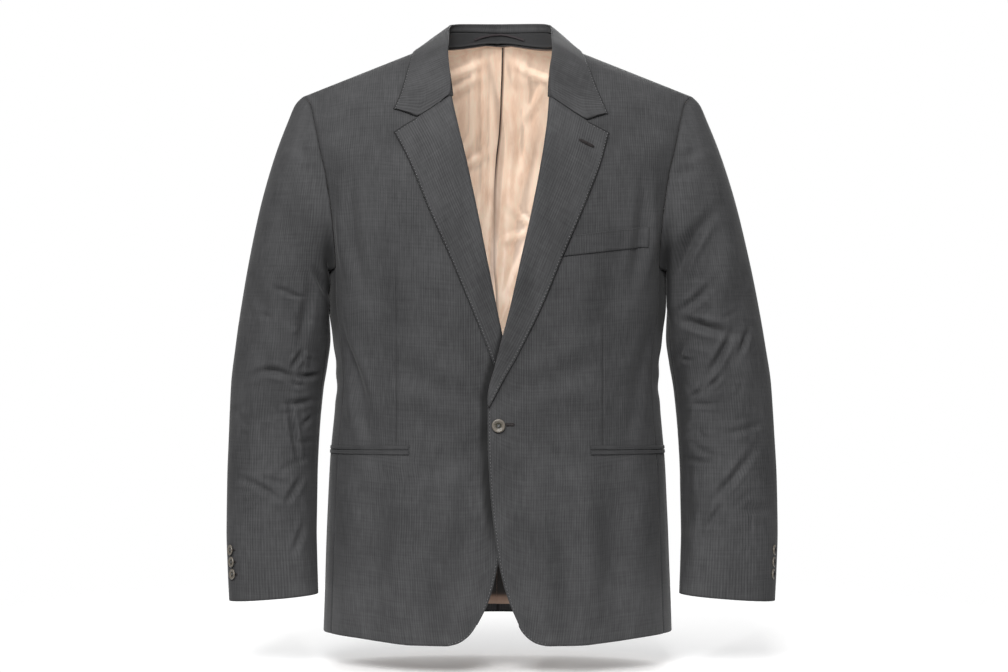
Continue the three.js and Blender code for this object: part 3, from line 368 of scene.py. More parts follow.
# Folds of the lining, seen through the neck. x runs to the wearer's left.
LINING_FOLDS = fold_table(
    (-33, -70, 70, 3.2, 89, 0.1, -1.6),
    (-18, -120, 150, 3.0, 90, 0.1, -2.2),
    (-14, -280, 110, 3.4, 88, 0.1, -1.8),
    (12, -60, 60, 7, 100, 0.3, -3.0),
    (16, -190, 150, 9, 86, 0.1, -3.6),
    (38, -60, 60, 4, 93, 0.2, -2.0),
    (34, -150, 60, 6, 80, -0.3, -2.2),
    (52, -25, 30, 5, -24, 0.3, -1.6),
    (50, -60, 26, 5, 60, 0.3, -1.4),
    (-52, -22, 34, 5, 22, 0.3, -1.6),
    (-56, -45, 30, 5, 30, 0.3, -1.4),
    (-44, -125, 28, 5, 62, 0.4, -1.8),
    (-36, -140, 24, 5, 30, 0.5, -1.6),
    (-26, -210, 40, 5, 76, 0.3, -1.6),
    (34, -215, 26, 5, -40, 0.4, -1.8),
    (26, -240, 26, 5, 30, 0.4, -1.6),
    (22, -300, 40, 5, 74, 0.3, -2.0),
    (14, -340, 36, 5, 62, 0.3, -1.8),
    (-10, -360, 40, 5, 84, 0.2, -1.6),
    (90, -200, 130, 10, 88, 0.1, -3.0),
    (-95, -220, 130, 10, 92, 0.1, -3.0),
    (70, -520, 140, 10, 90, 0.1, -3.0),
    (-70, -520, 140, 10, 90, 0.1, -3.0),
    (130, -560, 120, 10, 90, 0.1, -2.6),
    (-130, -560, 120, 10, 90, 0.1, -2.6),
)

# What differs from side to side
SIDES = (
    {
        "name": "left", "sign": 1, "opening": LEFT_OPENING, "edge": LEFT_LAPEL_EDGE,
        "notch": (112, -105), "tip": (139, -95), "under": False, "pocket": 29.9, "vent": -14,
        "sleeveOut": 5, "sleeveIn": 0, "dart": 133, "dartTop": -352, "rollOut": 3,
        "innerShade": 0.5, "folds": LEFT_FRONT_FOLDS, "sleeveFolds": LEFT_SLEEVE_FOLDS,
    },
    {
        "name": "right", "sign": -1, "opening": RIGHT_OPENING, "edge": RIGHT_LAPEL_EDGE,
        "notch": (100, -101), "tip": (130, -89), "under": True, "pocket": 28, "vent": 0,
        "sleeveOut": -7, "sleeveIn": -3.5, "dart": 127, "dartTop": -295, "rollOut": 5,
        "innerShade": 0.3, "folds": RIGHT_FRONT_FOLDS, "sleeveFolds": RIGHT_SLEEVE_FOLDS,
    },
)

# Buttonholes, buttons and the hanger loop
FRONT_HOLE = {"start": 10.5, "startZ": -485.5, "end": 21.5, "endZ": -485.5, "wide": 3.2}
LAPEL_HOLE = {"start": 101.5, "startZ": -130, "end": 120.5, "endZ": -138.5, "wide": 2.8}
FRONT_BUTTON = {"radius": 8.4, "thick": 3.2, "aside": 1.6}
CUFF_HOLE = {"start": 6, "end": 19, "wide": 1.8}  # in degrees round the sleeve from the button
CUFF_BUTTON = {"radius": 6.8, "thick": 2.6, "aside": 0, "rings": (11.53, 11.86, 12.2), "turnIn": 25}
HOLE_COLOUR = (0.012, 0.008, 0.008)
LOOP = {
    "half": 33, "wide": 3.0, "thick": 1.0, "low": 0.22, "high": 0.48, "standHeight": 23, "off": 1.0,
    "colour": (0.011, 0.005, 0.007),
}

# The camera, level in front of the jacket
CAMERA_PLACE = (8.45, -2800, -375)
CAMERA_LENS = 76.92
FLOOR_LEVEL = -800
FLOOR_REACH = 2.2
FLOOR_BACK = 0.25  # how far behind the jacket the middle of the floor lies, in metres


# Working with curves and surfaces
def mix(a, b, share):
    """From a, at share 0, to b, at share 1."""
    return a + (b - a) * share


def ease(low, high, value):
    """0 up to low and 1 from high on, with a smooth step, or the other way round if high is less."""
    t = np.clip((value - low) / (high - low), 0, 1)
    return t * t * (3 - 2 * t)


def curve(rows, key, over=None):
    """A smooth curve through a table's column, over another column or the row number."""
    xs = np.array([row[over] if over else i for i, row in enumerate(rows)], float)
    ys = np.array([row[key] for row in rows], float)
    steps = np.diff(ys) / np.diff(xs)
    slopes = np.empty_like(ys)
    slopes[0], slopes[-1] = steps[0], steps[-1]
    product = steps[:-1] * steps[1:]
    total = np.where(product > 0, steps[:-1] + steps[1:], 1)
    slopes[1:-1] = np.where(product > 0, 2 * product / total, 0)

    def value(x):
        x = np.clip(x, xs[0], xs[-1])
        i = np.clip(np.searchsorted(xs, x) - 1, 0, len(xs) - 2)
        wide = xs[i + 1] - xs[i]
        t = (x - xs[i]) / wide
        a = (1 + 2 * t) * (1 - t) ** 2 * ys[i] + t * t * (3 - 2 * t) * ys[i + 1]
        return a + wide * t * (1 - t) * ((1 - t) * slopes[i] - t * slopes[i + 1])

    return value


def unit(vectors):
    """Vectors of the same directions and of length 1."""
    return vectors / np.maximum(np.linalg.norm(vectors, axis=-1, keepdims=True), 1e-9)


def vectors(x, y, z):
    """Points from their x, y and z, whatever the shapes of those."""
    return np.stack(np.broadcast_arrays(np.asarray(x, float), y, z), axis=-1)


def runs(points, axis):
    """Length walked along an axis of a grid of points."""
    steps = np.linalg.norm(np.diff(points, axis=axis), axis=-1)
    pad = [(0, 0)] * steps.ndim
    pad[axis] = (1, 0)
    return np.pad(np.cumsum(steps, axis=axis), pad)


def evenly(surface, low, high, spacing):
    """Values from low to high whose points on a surface are evenly apart."""
    fine = np.linspace(low, high, 400)
    walked = runs(surface(fine), 0)
    count = max(2, int(round(walked[-1] / spacing)) + 1)
    return np.interp(np.linspace(0, walked[-1], count), walked, fine)


section = {key: curve(SECTIONS, key) for key in SECTIONS[0]}
ROW_STEPS = np.linspace(0, TOP, 6000)
LEVEL_STEPS = section["level"](ROW_STEPS)


def row_of(level):
    """Where a level lies among the rows of the body's sections."""
    return np.interp(level, LEVEL_STEPS, ROW_STEPS)


def slope_run(x):
    """How far x counts along the slope of the shoulders, with a soft start at the middle."""
    return np.hypot(x, CREST_SOFTNESS) - CREST_SOFTNESS


def level_at(x, z):
    """The level of the ring of the body that passes through x at height z."""
    level = np.asarray(z, float)
    for _ in range(30):
        level = z + section["drop"](row_of(level)) * slope_run(x)
    return level


def level_height(x, level):
    """Height at x of the ring of a level."""
    return level - section["drop"](row_of(level)) * slope_run(x)


def body_point(face, x, row):
    """A point on the body's outside, on its front (face -1) or back (face 1)."""
    power = section["round"](row)
    share = np.minimum(np.abs(x) / section["half"](row), 1)
    depth = np.where(face < 0, section["front"](row), section["back"](row))
    y = face * depth * (1 - share**power) ** (1 / power)
    return vectors(x, y, section["level"](row) - section["drop"](row) * slope_run(x))


def side_point(share, row):
    """A point on the side of the body, with share 0 at its front seam and 1 at its back seam."""
    x = section["arm"](row)
    y = mix(body_point(-1, x, row)[..., 1], body_point(1, x, row)[..., 1], share)
    power = section["round"](row)
    depth = np.where(y < 0, section["front"](row), section["back"](row))
    out = section["half"](row) * (1 - (np.abs(y) / depth) ** power) ** (1 / power)
    return vectors(out, y, section["level"](row))


def surface_normal(surface, a, b, step_a, step_b):
    """Unit normal of a surface of two numbers, measured over small steps."""
    along_a = surface(a + step_a, b) - surface(a - step_a, b)
    along_b = surface(a, b + step_b) - surface(a, b - step_b)
    return unit(np.cross(along_a, along_b))


def body_normal(face, x, row):
    """Outward normal of the body's front or back, steady as it nears the shoulder seam."""
    flat = unit(vectors(section["drop"](row), 0, np.ones_like(x + row)))
    low = np.minimum(row, TOP - 0.03)
    found = surface_normal(lambda a, b: body_point(face, a, b), x, low, 0.5, 0.01)
    found = found * -np.asarray(face)[..., None]
    return np.where((row > TOP - 0.02)[..., None], flat, found)


def fold_depth(folds, a, b):
    """How far folds sink the cloth at a and b, mm across it and along it."""
    depth = np.zeros(np.broadcast(a, b).shape)
    for fold in folds:
        u, v = a - fold["x"], b - fold["z"]
        slant = math.radians(fold["tilt"])
        along = (u * math.cos(slant) + v * math.sin(slant)) / fold["along"]
        across = (v * math.cos(slant) - u * math.sin(slant)) / fold["across"]
        across = across - fold["bow"] * along * along
        trough = np.exp(-across * across)
        shoulders = 0.4 * np.exp(-(((np.abs(across) - 1.7) / 0.8) ** 2))
        depth += fold["deep"] * np.exp(-along * along) * (trough - shoulders)
    return depth


def ripple(a, b, size, seed):
    """Shallow uneven waves, so that no sheet is perfectly even."""
    wave = 0.0
    for i in range(5):
        turn = seed * 1.7 + i * 2.399
        long = 90 / (1 + 0.42 * i)
        phase = (a * math.cos(turn) + b * math.sin(turn)) / long + seed * 3.1 + i
        wave = wave + np.sin(phase * math.tau * 0.5) / (1 + 0.5 * i)
    return size * wave / 3


underlap = curve(UNDERLAP, "sink", "level")
quarter = curve(QUARTER, "level", "x")
back_neck = curve(NECK, "x", "level")
pleat_line = curve(PLEAT_LINE, "x", "level")
for each in SIDES:
    each["startAt"] = curve(each["opening"], "x", "level")
    each["edgeAt"] = curve(each["edge"], "x", "z")


def ring_point(turn, row):
    """The ring of the body by turn: 0 at the middle of the front and 90 at the side."""
    power = 2 / section["round"](row)
    angle = np.radians(turn)
    x = section["half"](row) * np.sin(angle) ** power
    y = -section["front"](row) * np.cos(angle) ** power
    return vectors(x, y, section["level"](row))


def dart_window(side, z):
    """1 over the height of a front's dart and 0 above and below it."""
    return ease(DART_FOOT - 10, DART_FOOT, z) * ease(side["dartTop"] + 12, side["dartTop"] - 30, z)


def dart_line(side, x, z):
    """1 along the sewn dart of a front and 0 away from it."""
    return dart_window(side, z) * np.exp(-(((x - side["dart"]) / 0.8) ** 2))


def dart_groove(side, x, z):
    """How far a dart sinks: a fine groove between two pressed ridges."""
    ridges = np.exp(-(((np.abs(x - side["dart"]) - 4) / 2.4) ** 2))
    return 0.9 * dart_line(side, x, z) - 0.3 * dart_window(side, z) * ridges


def seam_fade(x, row):
    """0 at the armhole and side seam of a panel and 1 a little way in from them."""
    return ease(0, 12, section["arm"](row) - x)


def pocket_sink(side, x, z):
    """A hip pocket draws its front in a little along both of its edges."""
    start = ring_point(side["pocket"], row_of(HIP_POCKET["level"]))[0]
    inside = ease(start - 3, start + 2, x)
    away = np.abs(z - HIP_POCKET["level"] + HIP_POCKET["fall"] * ease(start, 226, x) * 0.8)
    return inside * 0.5 * np.exp(-(((away - 6.5) / 1.8) ** 2))


def front_point(side, x, level, off=0.0):
    """A point off the outside of a front, with its folds, in the front's own half."""
    x, level = np.broadcast_arrays(np.asarray(x, float), np.asarray(level, float))
    row = row_of(level)
    point = body_point(-1, x, row)
    normal = body_normal(-1, x, row)
    z = point[..., 2]
    sink = BODY_FOLD_GAIN * fold_depth(side["folds"], x, z) + ripple(x, z, 0.5, 1.3 + side["sign"])
    sink = sink * ease(20, -20, level) * seam_fade(x, row)
    sink = sink + dart_groove(side, x, z) + pocket_sink(side, x, z)
    if side["under"]:
        sink = sink + underlap(level) * (1 - ease(UNDERLAP_FULL, UNDERLAP_NONE, x))
    return point + normal * (off - sink)[..., None]


# Meshes of cloth
def grid_normals(points, outward):
    """Normals of a grid of points, on the side that outward points to."""
    found = unit(np.cross(np.gradient(points, axis=1), np.gradient(points, axis=0)))
    return found if float((found * outward).sum()) > 0 else -found


def border_of(rows, columns):
    """The border of a grid as one loop of row and column numbers."""
    top = [(0, c) for c in range(columns)]
    right = [(r, columns - 1) for r in range(1, rows)]
    bottom = [(rows - 1, c) for c in range(columns - 2, -1, -1)]
    left = [(r, 0) for r in range(rows - 2, 0, -1)]
    return np.array(top + right + bottom + left).T


def sheet_faces(rows, columns, r, c):
    """Faces of both sides of a sheet and of the rounded edge along its border."""
    count = rows * columns
    index = np.arange(count).reshape(rows, columns)
    corners = (index[:-1, :-1], index[:-1, 1:], index[1:, 1:], index[1:, :-1])
    outer = np.stack(corners, -1).reshape(-1, 4)
    loops = [index[r, c]]
    for step in range(RIM_STEPS - 1):
        loops.append(2 * count + step * len(r) + np.arange(len(r)))
    loops.append(index[r, c] + count)
    faces = [outer, outer[:, ::-1] + count]
    for first, second in zip(loops, loops[1:]):
        faces.append(np.stack([np.roll(first, -1), first, second, np.roll(second, -1)], -1))
    return np.concatenate(faces)


def cloth_mesh(name, points, outward, thick, cut, marks=None, rim=1.0):
    """A closed sheet of cloth whose outside is a grid of points, with rounded edges.

    cut holds each point's place on the flat cloth, in mm, and becomes the UV map. rim is how dark
    the painted shade along the edges is and marks what other shade is painted.
    """
    rows, columns = points.shape[:2]
    normals = grid_normals(points, outward)
    r, c = border_of(rows, columns)
    inner_r, inner_c = np.clip(r, 1, rows - 2), np.clip(c, 1, columns - 2)
    away = points[r, c] - points[inner_r, inner_c]
    normal = normals[r, c]
    away = unit(away - normal * (away * normal).sum(-1, keepdims=True))
    half = thick / 2
    points = points.copy()
    points[r, c] -= away * (half + SEAM_GAP / 2)
    coordinates = [points.reshape(-1, 3), (points - normals * thick).reshape(-1, 3)]
    cuts = [cut.reshape(-1, 2), cut.reshape(-1, 2)]
    away_cut = unit(cut[r, c] - cut[inner_r, inner_c])
    middle = points[r, c] - normal * half
    for step in range(1, RIM_STEPS):
        angle = math.pi * step / RIM_STEPS
        coordinates.append(middle + normal * half * math.cos(angle) + away * half * math.sin(angle))
        cuts.append(cut[r, c] + away_cut * half * angle)
    coordinates = np.concatenate(coordinates)
    faces = sheet_faces(rows, columns, r, c)
    a, b, d, e = (coordinates[faces[:, k]] for k in range(4))
    inside_out = (a * (np.cross(b, d) + np.cross(d, e))).sum() < 0
    if inside_out:
        faces = faces[:, ::-1]
    rim = np.broadcast_to(rim, (rows, columns))
    # painted shade: dark along the edges and seams, where shade falls, and the painted shade of the marks
    painted_shade = rim * np.exp(-((edge_distance(points) / RIM_WIDTH) ** 2))
    if marks is not None:
        painted_shade = np.maximum(painted_shade, marks)
    painted_shade = painted_shade.reshape(-1)
    painted_shade = np.concatenate([painted_shade, painted_shade, np.tile(rim[r, c], RIM_STEPS - 1)])
    return mesh_of(name, coordinates, faces.tolist(), np.concatenate(cuts), painted_shade)


def edge_distance(points):
    """How far each point of a grid is from the nearest border, along the cloth."""
    down, across = runs(points, 0), runs(points, 1)
    from_end = np.minimum(down, down[-1:] - down)
    from_side = np.minimum(across, across[:, -1:] - across)
    return np.minimum(from_end, from_side)


def mesh_of(name, coordinates, faces, cuts=None, painted_shade=None):
    """A smooth mesh in metres from points in mm."""
    mesh = bpy.data.meshes.new(name)
    mesh.from_pydata((coordinates * MM).tolist(), [], faces)
    mesh.update()
    mesh.shade_smooth()
    if cuts is not None:
        corners = np.empty(len(mesh.loops), int)
        mesh.loops.foreach_get("vertex_index", corners)
        layer = mesh.uv_layers.new(name="cut")
        layer.data.foreach_set("uv", (cuts[corners] * MM).astype(np.float32).ravel())
    if painted_shade is not None:
        # the painted shade, from 0 to 1, kept as the rim attribute
        attribute = mesh.attributes.new("rim", "FLOAT", "POINT")
        attribute.data.foreach_set("value", painted_shade.astype(np.float32))
    return mesh


def in_scene(name, data):
    """A new object in the scene."""
    made = bpy.data.objects.new(name, data)
    bpy.context.scene.collection.objects.link(made)
    return made


def finished_mesh(made):
    """The mesh of an object with its modifiers applied. The object itself goes."""
    graph = bpy.context.evaluated_depsgraph_get()
    mesh = bpy.data.meshes.new_from_object(made.evaluated_get(graph))
    bpy.data.objects.remove(made)
    return mesh


def add_piece(name, mesh, finish, stands_for=()):
    """A finished mesh as a piece of the jacket that stands for CAD nodes."""
    piece = in_scene(name, mesh)
    mesh.materials.clear()
    mesh.materials.append(finish)
    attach(piece, "root")
    if stands_for:
        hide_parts(*stands_for)
    return piece


def add_cloth(
    name, node, points, outward, thick, cut, rests_on, slot="suiting", held="hung", finish=None, **painted_shade,
):
    """A sheet of cloth that stands for one CAD node, with its cut as the UV map."""
    mesh = cloth_mesh(name, points, outward, thick, cut, **painted_shade)
    piece = add_piece(name, mesh, finish_of(finish or slot), [node])


def mirrored(points, side):
    """Points of the half on +X, put on a side's own half."""
    return points * np.array([side["sign"], 1, 1])


def add_half(side, name, node, points, outward, thick, cut, rests_on, **more):
    """A sheet of one half of the jacket, mirrored to its side and named after it."""
    end = side["name"]
    add_cloth(
        f"{name}_{end}", f"{node}_{end}", mirrored(points, side), outward, thick, cut,
        [f"{rests_on}_{end}"], **more,
    )


# Body panels
def body_levels(hem, upper):
    """Levels of a panel's points from its hem up, for an array of hem levels, one a column."""
    skirt_count = int((SKIRT_LEVEL - SIDE_HEM) / CELL)
    shares = np.arange(skirt_count) / skirt_count
    skirt = mix(hem[None, :], SKIRT_LEVEL, shares[:, None])
    body = np.arange(SKIRT_LEVEL, UNDERARM_LEVEL, CELL)
    if upper:
        rows = evenly(lambda row: body_point(-1, 120.0, row), row_of(UNDERARM_LEVEL), TOP, CELL)
        body = np.concatenate([body, section["level"](rows)])
    else:
        body = np.append(body, UNDERARM_LEVEL)
    return np.concatenate([skirt, np.repeat(body[:, None], len(hem), axis=1)])


DART_COLUMNS = np.array([-7, -4.5, -2.8, -1.6, -0.8, 0, 0.8, 1.6, 2.8, 4.5, 7])


def across_front(side, start, end):
    """x of each column of a front, crowded round its dart."""
    dart = side["dart"]
    before = np.concatenate([[0, 0.012, 0.03], np.linspace(0.06, 1, 26)[:-1]])
    after = np.linspace(0, 1, 26)[1:]
    start, end = start[..., None], end[..., None]
    inner = mix(start, dart + DART_COLUMNS[0], before)
    middle = np.broadcast_to(dart + DART_COLUMNS, start.shape[:-1] + (len(DART_COLUMNS),))
    outer = mix(dart + DART_COLUMNS[-1], end, after)
    return np.concatenate([inner, middle, outer], axis=-1)


def front_grid(side):
    """Points, x and levels of a front, by row from the hem up and column from the edge out."""
    foot_x = side["startAt"](side["opening"][0]["level"])
    hem_x = across_front(side, np.array(foot_x), np.array(section["arm"](0)))
    levels = body_levels(quarter(hem_x), True)
    edge_level = levels[:, 0]
    tuck = ROLL_INSET * ease(BREAK_LEVEL, BREAK_LEVEL + 40, edge_level)
    start = side["startAt"](edge_level) + tuck
    ends = section["arm"](row_of(levels))
    columns = [across_front(side, start, ends[:, c])[:, c] for c in range(levels.shape[1])]
    columns = np.stack(columns, 1)
    return front_point(side, columns, levels), columns, levels


def body_cut(points, start):
    """Place on the flat cloth: walked round the body from the centre, and up it."""
    return np.stack([start[:, None] + runs(points, 1), runs(points, 0)], -1)


def overlap_shade(side, x, level):
    """The shade on the under front along the edge of the front that laps over it."""
    if not side["under"]:
        return np.zeros(x.shape)
    edge = -SIDES[0]["startAt"](level)
    along = ease(-660, -590, level) * ease(-350, -366, level)
    return along * ease(OVERLAP_REACH, OVERLAP_FULL, x - edge)


def front_marks(side, points, columns, levels):
    """Painted shade on a front: in its dart, along the lap of the other front and at the armpit."""
    # painted shade in the groove of the dart
    dart = dart_line(side, points[..., 0], points[..., 2]) * 0.45
    overlap = overlap_shade(side, columns, levels)
    return np.maximum(np.maximum(dart, overlap), armpit_shade(points))


def fronts():
    for side in SIDES:
        points, columns, levels = front_grid(side)
        cut = body_cut(points, columns[:, 0])
        add_half(
            side, "cloth_front", "front", points, (0, -1, 0), BODY_CLOTH, cut, "side",
            marks=front_marks(side, points, columns, levels), rim=SEAM_RIM,
        )


def back_start(level):
    """Where a half of the back begins: at the neck, at the centre, or a little past it by the hem."""
    return np.where(level > NAPE_LEVEL, back_neck(level), -HEM_LAP * ease(-670, -700, level))


def back_hem(share):
    """Level of the hem of a back, a little higher at the centre."""
    return SIDE_HEM + BACK_HEM_LIFT * (1 - ease(0, 0.9, share))


def back_point(x, level, off, seed):
    """A point off the outside of a back, with its folds."""
    x, level = np.broadcast_arrays(np.asarray(x, float), np.asarray(level, float))
    row = row_of(level)
    point = body_point(1, x, row)
    z = point[..., 2]
    sink = fold_depth(BACK_FOLDS, x, z) + ripple(x, z, 0.6, seed)
    sink = sink * ease(20, -20, level) * seam_fade(x, row)
    return point + body_normal(1, x, row) * (off - sink)[..., None]


def back_seed(side):
    """What makes the ripples of the two halves of the back differ."""
    return 0.4 + 0.9 * side["sign"]


def back_grid(hem_of, start_of, columns):
    """x and levels of a half of the back or of its lining."""
    shares = np.linspace(0, 1, columns) ** 1.15
    levels = body_levels(hem_of(shares), True)
    start = start_of(levels[:, 0])
    x = mix(start[:, None], section["arm"](row_of(levels)), shares[None, :])
    return x, levels


def backs():
    for side in SIDES:
        x, levels = back_grid(back_hem, back_start, 64)
        points = back_point(x, levels, 0.0, back_seed(side))
        add_half(
            side, "cloth_back", "back", points, (0, 1, 0), BODY_CLOTH, body_cut(points, x[:, 0]), "side",
            # painted shade along the back's edges, full along the hem
            rim=np.where(levels < HEM_RIM_LEVEL, 1.0, SEAM_RIM),
        )


def underarm(share):
    """Level of the foot of the armhole, from front seam to back seam."""
    return UNDERARM_LEVEL - ARMHOLE_DIP * np.sin(np.pi * share)


def side_grid(side):
    """Points of a side body, whose top follows the foot of the armhole."""
    shares = np.linspace(0, 1, SIDE_COLUMNS)
    levels = body_levels(SIDE_HEM - SIDE_HEM_SAG * np.sin(np.pi * shares), False)
    dip = (levels - UNDERARM_LEVEL + 40).clip(0) / 40
    levels = levels + dip * (underarm(shares) - UNDERARM_LEVEL)[None, :]
    rows = row_of(levels)
    share = np.broadcast_to(shares, levels.shape)
    points = side_point(share, rows)
    y, z = points[..., 1], points[..., 2]
    sink = fold_depth(SIDE_FOLDS, y, z) + ripple(y, z, 0.5, 2.2 * side["sign"])
    sink = sink * np.sin(np.pi * shares) ** 0.5
    return points - surface_normal(side_point, share, rows, 0.01, 0.01) * sink[..., None]


def sides():
    for side in SIDES:
        points = side_grid(side)
        add_half(
            side, "cloth_side", "side", points, (side["sign"], 0, 0), BODY_CLOTH,
            body_cut(points, np.zeros(len(points))), "front", marks=armpit_shade(points), rim=SEAM_RIM,
        )


# Sleeves
sleeve_curves = {key: curve(SLEEVE, key) for key in SLEEVE[0]}


def round_sleeve(ring, turn):
    """A point on the plain sleeve: turn 0 is outside, 90 in front and 180 by the body."""
    s = sleeve_curves
    angle = np.radians(turn)
    power = 2 / SLEEVE_ROUND
    across = np.sign(np.cos(angle)) * np.abs(np.cos(angle)) ** power
    forward = np.sign(np.sin(angle)) * np.abs(np.sin(angle)) ** power
    x = mix(s["inX"](ring), s["outX"](ring), (1 + across) / 2)
    z = mix(s["inZ"](ring), s["outZ"](ring), (1 + across) / 2)
    return vectors(x, s["midY"](ring) - s["deep"](ring) * forward, z)


def sleeve_point(side, ring, turn):
    """A point on a side's own sleeve, which leans on the body below the armhole."""
    point = round_sleeve(ring, turn)
    outer = (1 + np.cos(np.radians(turn))) / 2
    x = point[..., 0] + ease(1, 11, ring) * mix(side["sleeveIn"], side["sleeveOut"], outer)
    lean = ease(HUG["start"], HUG["full"], ring) * (1 - ease(HUG["fade"], HUG["none"], ring))
    lean = lean * ease(0.5, 0.1, outer)
    x = x - HUG["deep"] * lean * np.exp(-(((point[..., 1] - HUG["atY"]) / HUG["wide"]) ** 2))
    return vectors(x, point[..., 1], point[..., 2])


def crumples(seed):
    """Many small folds scattered over the elbow and forearm."""
    rng = np.random.default_rng(seed)
    return [
        {
            "x": rng.uniform(*CRUMPLES["x"]), "z": rng.uniform(*CRUMPLES["z"]),
            "along": rng.uniform(7, 19), "across": rng.uniform(2.4, 4.4), "tilt": rng.uniform(-35, 95),
            "bow": rng.uniform(-0.6, 0.6), "deep": rng.choice((-0.7, 1.0)) * rng.uniform(0.5, 1.1),
        }
        for _ in range(CRUMPLES["count"])
    ]


def sleeve_sink(side, points, turn):
    """How far a sleeve's folds sink: front ones on its front half and back ones behind."""
    x, z = points[..., 0], points[..., 2]
    forward, outward = np.sin(np.radians(turn)), np.cos(np.radians(turn))
    small = fold_depth(crumples(20 + side["sign"]), x, z)
    main = fold_depth(side["sleeveFolds"], x, z)
    front = (main + small * ease(1.2, 0.2, np.abs(main))) * ease(-0.1, 0.4, forward)
    behind = fold_depth(BACK_SLEEVE_FOLDS, x, z + 12 * side["sign"]) + small
    behind = behind * ease(0.1, -0.4, forward)
    edges = (1 - 0.85 * ease(0.75, 1, outward)) * (1 - 0.8 * ease(-0.7, -0.97, outward))
    return (SLEEVE_FOLD_GAIN * (front + behind) + ripple(x, z, 0.7, 3.3 * side["sign"])) * edges


# The sleeve's outer and inner edges by height, and how far forward its middle lies and reaches
OUTER_LINE = np.array([(row["outZ"], row["outX"]) for row in reversed(SLEEVE)]).T
INNER_LINE = np.array([(row["inZ"], row["inX"]) for row in reversed(SLEEVE)]).T
MIDDLE_LINE = np.array(
    [((row["inZ"] + row["outZ"]) / 2, row["midY"], row["deep"]) for row in reversed(SLEEVE)]
).T


def vent_swing(side, ring):
    """How far a sleeve's seams swing round it towards the cuff, in degrees."""
    return ease(9, CUFF, ring) * side["vent"]


def armhole():
    """The armhole from the shoulder down the front, under the arm and up the back, on +X."""
    lines = []
    for face in (-1, 1):

        def seam(row):
            return body_point(face, section["arm"](row), row)

        lines.append(seam(evenly(seam, row_of(UNDERARM_LEVEL), TOP, CELL)))
    shares = np.linspace(0, 1, SIDE_COLUMNS)[1:-1]
    under = side_point(shares, row_of(underarm(shares)))
    return np.concatenate([lines[0][::-1], under, lines[1][:-1]])


def sleeve_tube(side):
    """Both pieces of a sleeve share one tube of points, so their seams match."""
    hole = armhole()
    outer, inner = round_sleeve(0, 0.0), round_sleeve(0, 180.0)
    centre, head = (outer + inner) / 2, outer - inner
    length = np.linalg.norm(head)
    across = (hole - centre) @ head / length / (length / 2)
    forward = (sleeve_curves["midY"](0) - hole[:, 1]) / sleeve_curves["deep"](0)
    turns = np.degrees(np.arctan2(forward, across))
    turns = np.where((np.arange(len(turns)) > 0) & (turns < 0), turns + 360, turns)
    hind0, fore0 = sleeve_curves["hind"](0), sleeve_curves["fore"](0)
    hind_at = int(np.argmax(turns > 360 + hind0 + 2))
    fore_at = int(np.argmax(turns > fore0 + 3))
    rings = evenly(lambda ring: sleeve_point(side, ring, 0.0), 0, CUFF, CELL)
    rings = np.insert(rings, 1, [rings[1] * 0.25, rings[1] * 0.6])
    ring = rings[:, None]
    start, stop = turns[hind_at] - 360, turns[fore_at]
    hind = sleeve_curves["hind"](ring) - hind0 + start + vent_swing(side, ring)
    fore = sleeve_curves["fore"](ring) - fore0 + stop + vent_swing(side, ring)
    i = np.arange(len(turns))[None, :]
    own = np.where(i > hind_at, turns - 360, turns)
    under = mix(fore, hind + 360, (turns - stop) / (start + 360 - stop))
    top = mix(hind, fore, (own - start) / (stop - start))
    turn = np.where((i >= fore_at) & (i <= hind_at), under, top)
    points = sleeve_point(side, np.broadcast_to(ring, turn.shape), turn)
    offsets = hole - round_sleeve(0, turns)
    down = np.gradient(points, axis=0)
    around = np.roll(points, -1, axis=1) - np.roll(points, 1, axis=1)
    normal = unit(np.cross(around, down))
    sink = sleeve_sink(side, points, turn) * ease(0, 1.2, ring)
    sink = sink * ease(CUFF, CUFF - 0.8, ring) ** 0.5
    points = points - normal * sink[..., None]
    points = points + offsets[None] * (1 - ease(0, ARMHOLE_FADE, ring))[..., None]
    return points, turn, fore_at, hind_at


def sleeve_cut(points):
    """Place on the flat sleeve: walked round level from its front line, and down it."""
    x, y, z = points[..., 0], points[..., 1], points[..., 2]
    outer, inner = np.interp(z, *OUTER_LINE), np.interp(z, *INNER_LINE)
    middle, deep = (np.interp(z, MIDDLE_LINE[0], MIDDLE_LINE[k]) for k in (1, 2))
    half = (outer - inner) / 2
    angle = np.unwrap(np.arctan2((middle - y) / deep, (x - (outer + inner) / 2) / half), axis=1)
    turns = np.round((angle[:, :1] - angle[len(angle) // 2, 0]) / math.tau)
    return np.stack([(angle - math.tau * turns - math.pi / 2) * (half + deep) / 2, -z], -1)


def inner_shade(side, points):
    """The uneven shade down the inside of a forearm, in front."""
    x, y, z = points[..., 0], points[..., 1], points[..., 2]
    band = INNER_BAND
    wave = 2.6 * np.sin(z / 9.5 + side["sign"]) + 2.4 * np.sin(z / 23.0 + 1.4 * side["sign"])
    edge = np.interp(z, *INNER_LINE) + side["sleeveIn"] + band["wide"] + wave
    along = ease(band["low"] - 20, band["low"] + 60, z) * ease(band["high"] + 30, band["high"] - 30, z)
    middle = np.interp(z, MIDDLE_LINE[0], MIDDLE_LINE[1])
    front = ease(middle + 10, middle - 5, y)
    return side["innerShade"] * along * front * ease(edge + band["soft"], edge - band["soft"] / 2, x)


def armpit_shade(points):
    """The shade where sleeve and body meet under the arm."""
    x, z = points[..., 0], points[..., 2]
    line = np.interp(z, ARMPIT_LINE[0], ARMPIT_LINE[1])
    along = ease(-395, -360, z) * ease(-215, -285, z)
    return np.minimum(ARMPIT_SHADE * along * np.exp(-(((x - line) / ARMPIT_REACH) ** 2)), 1)


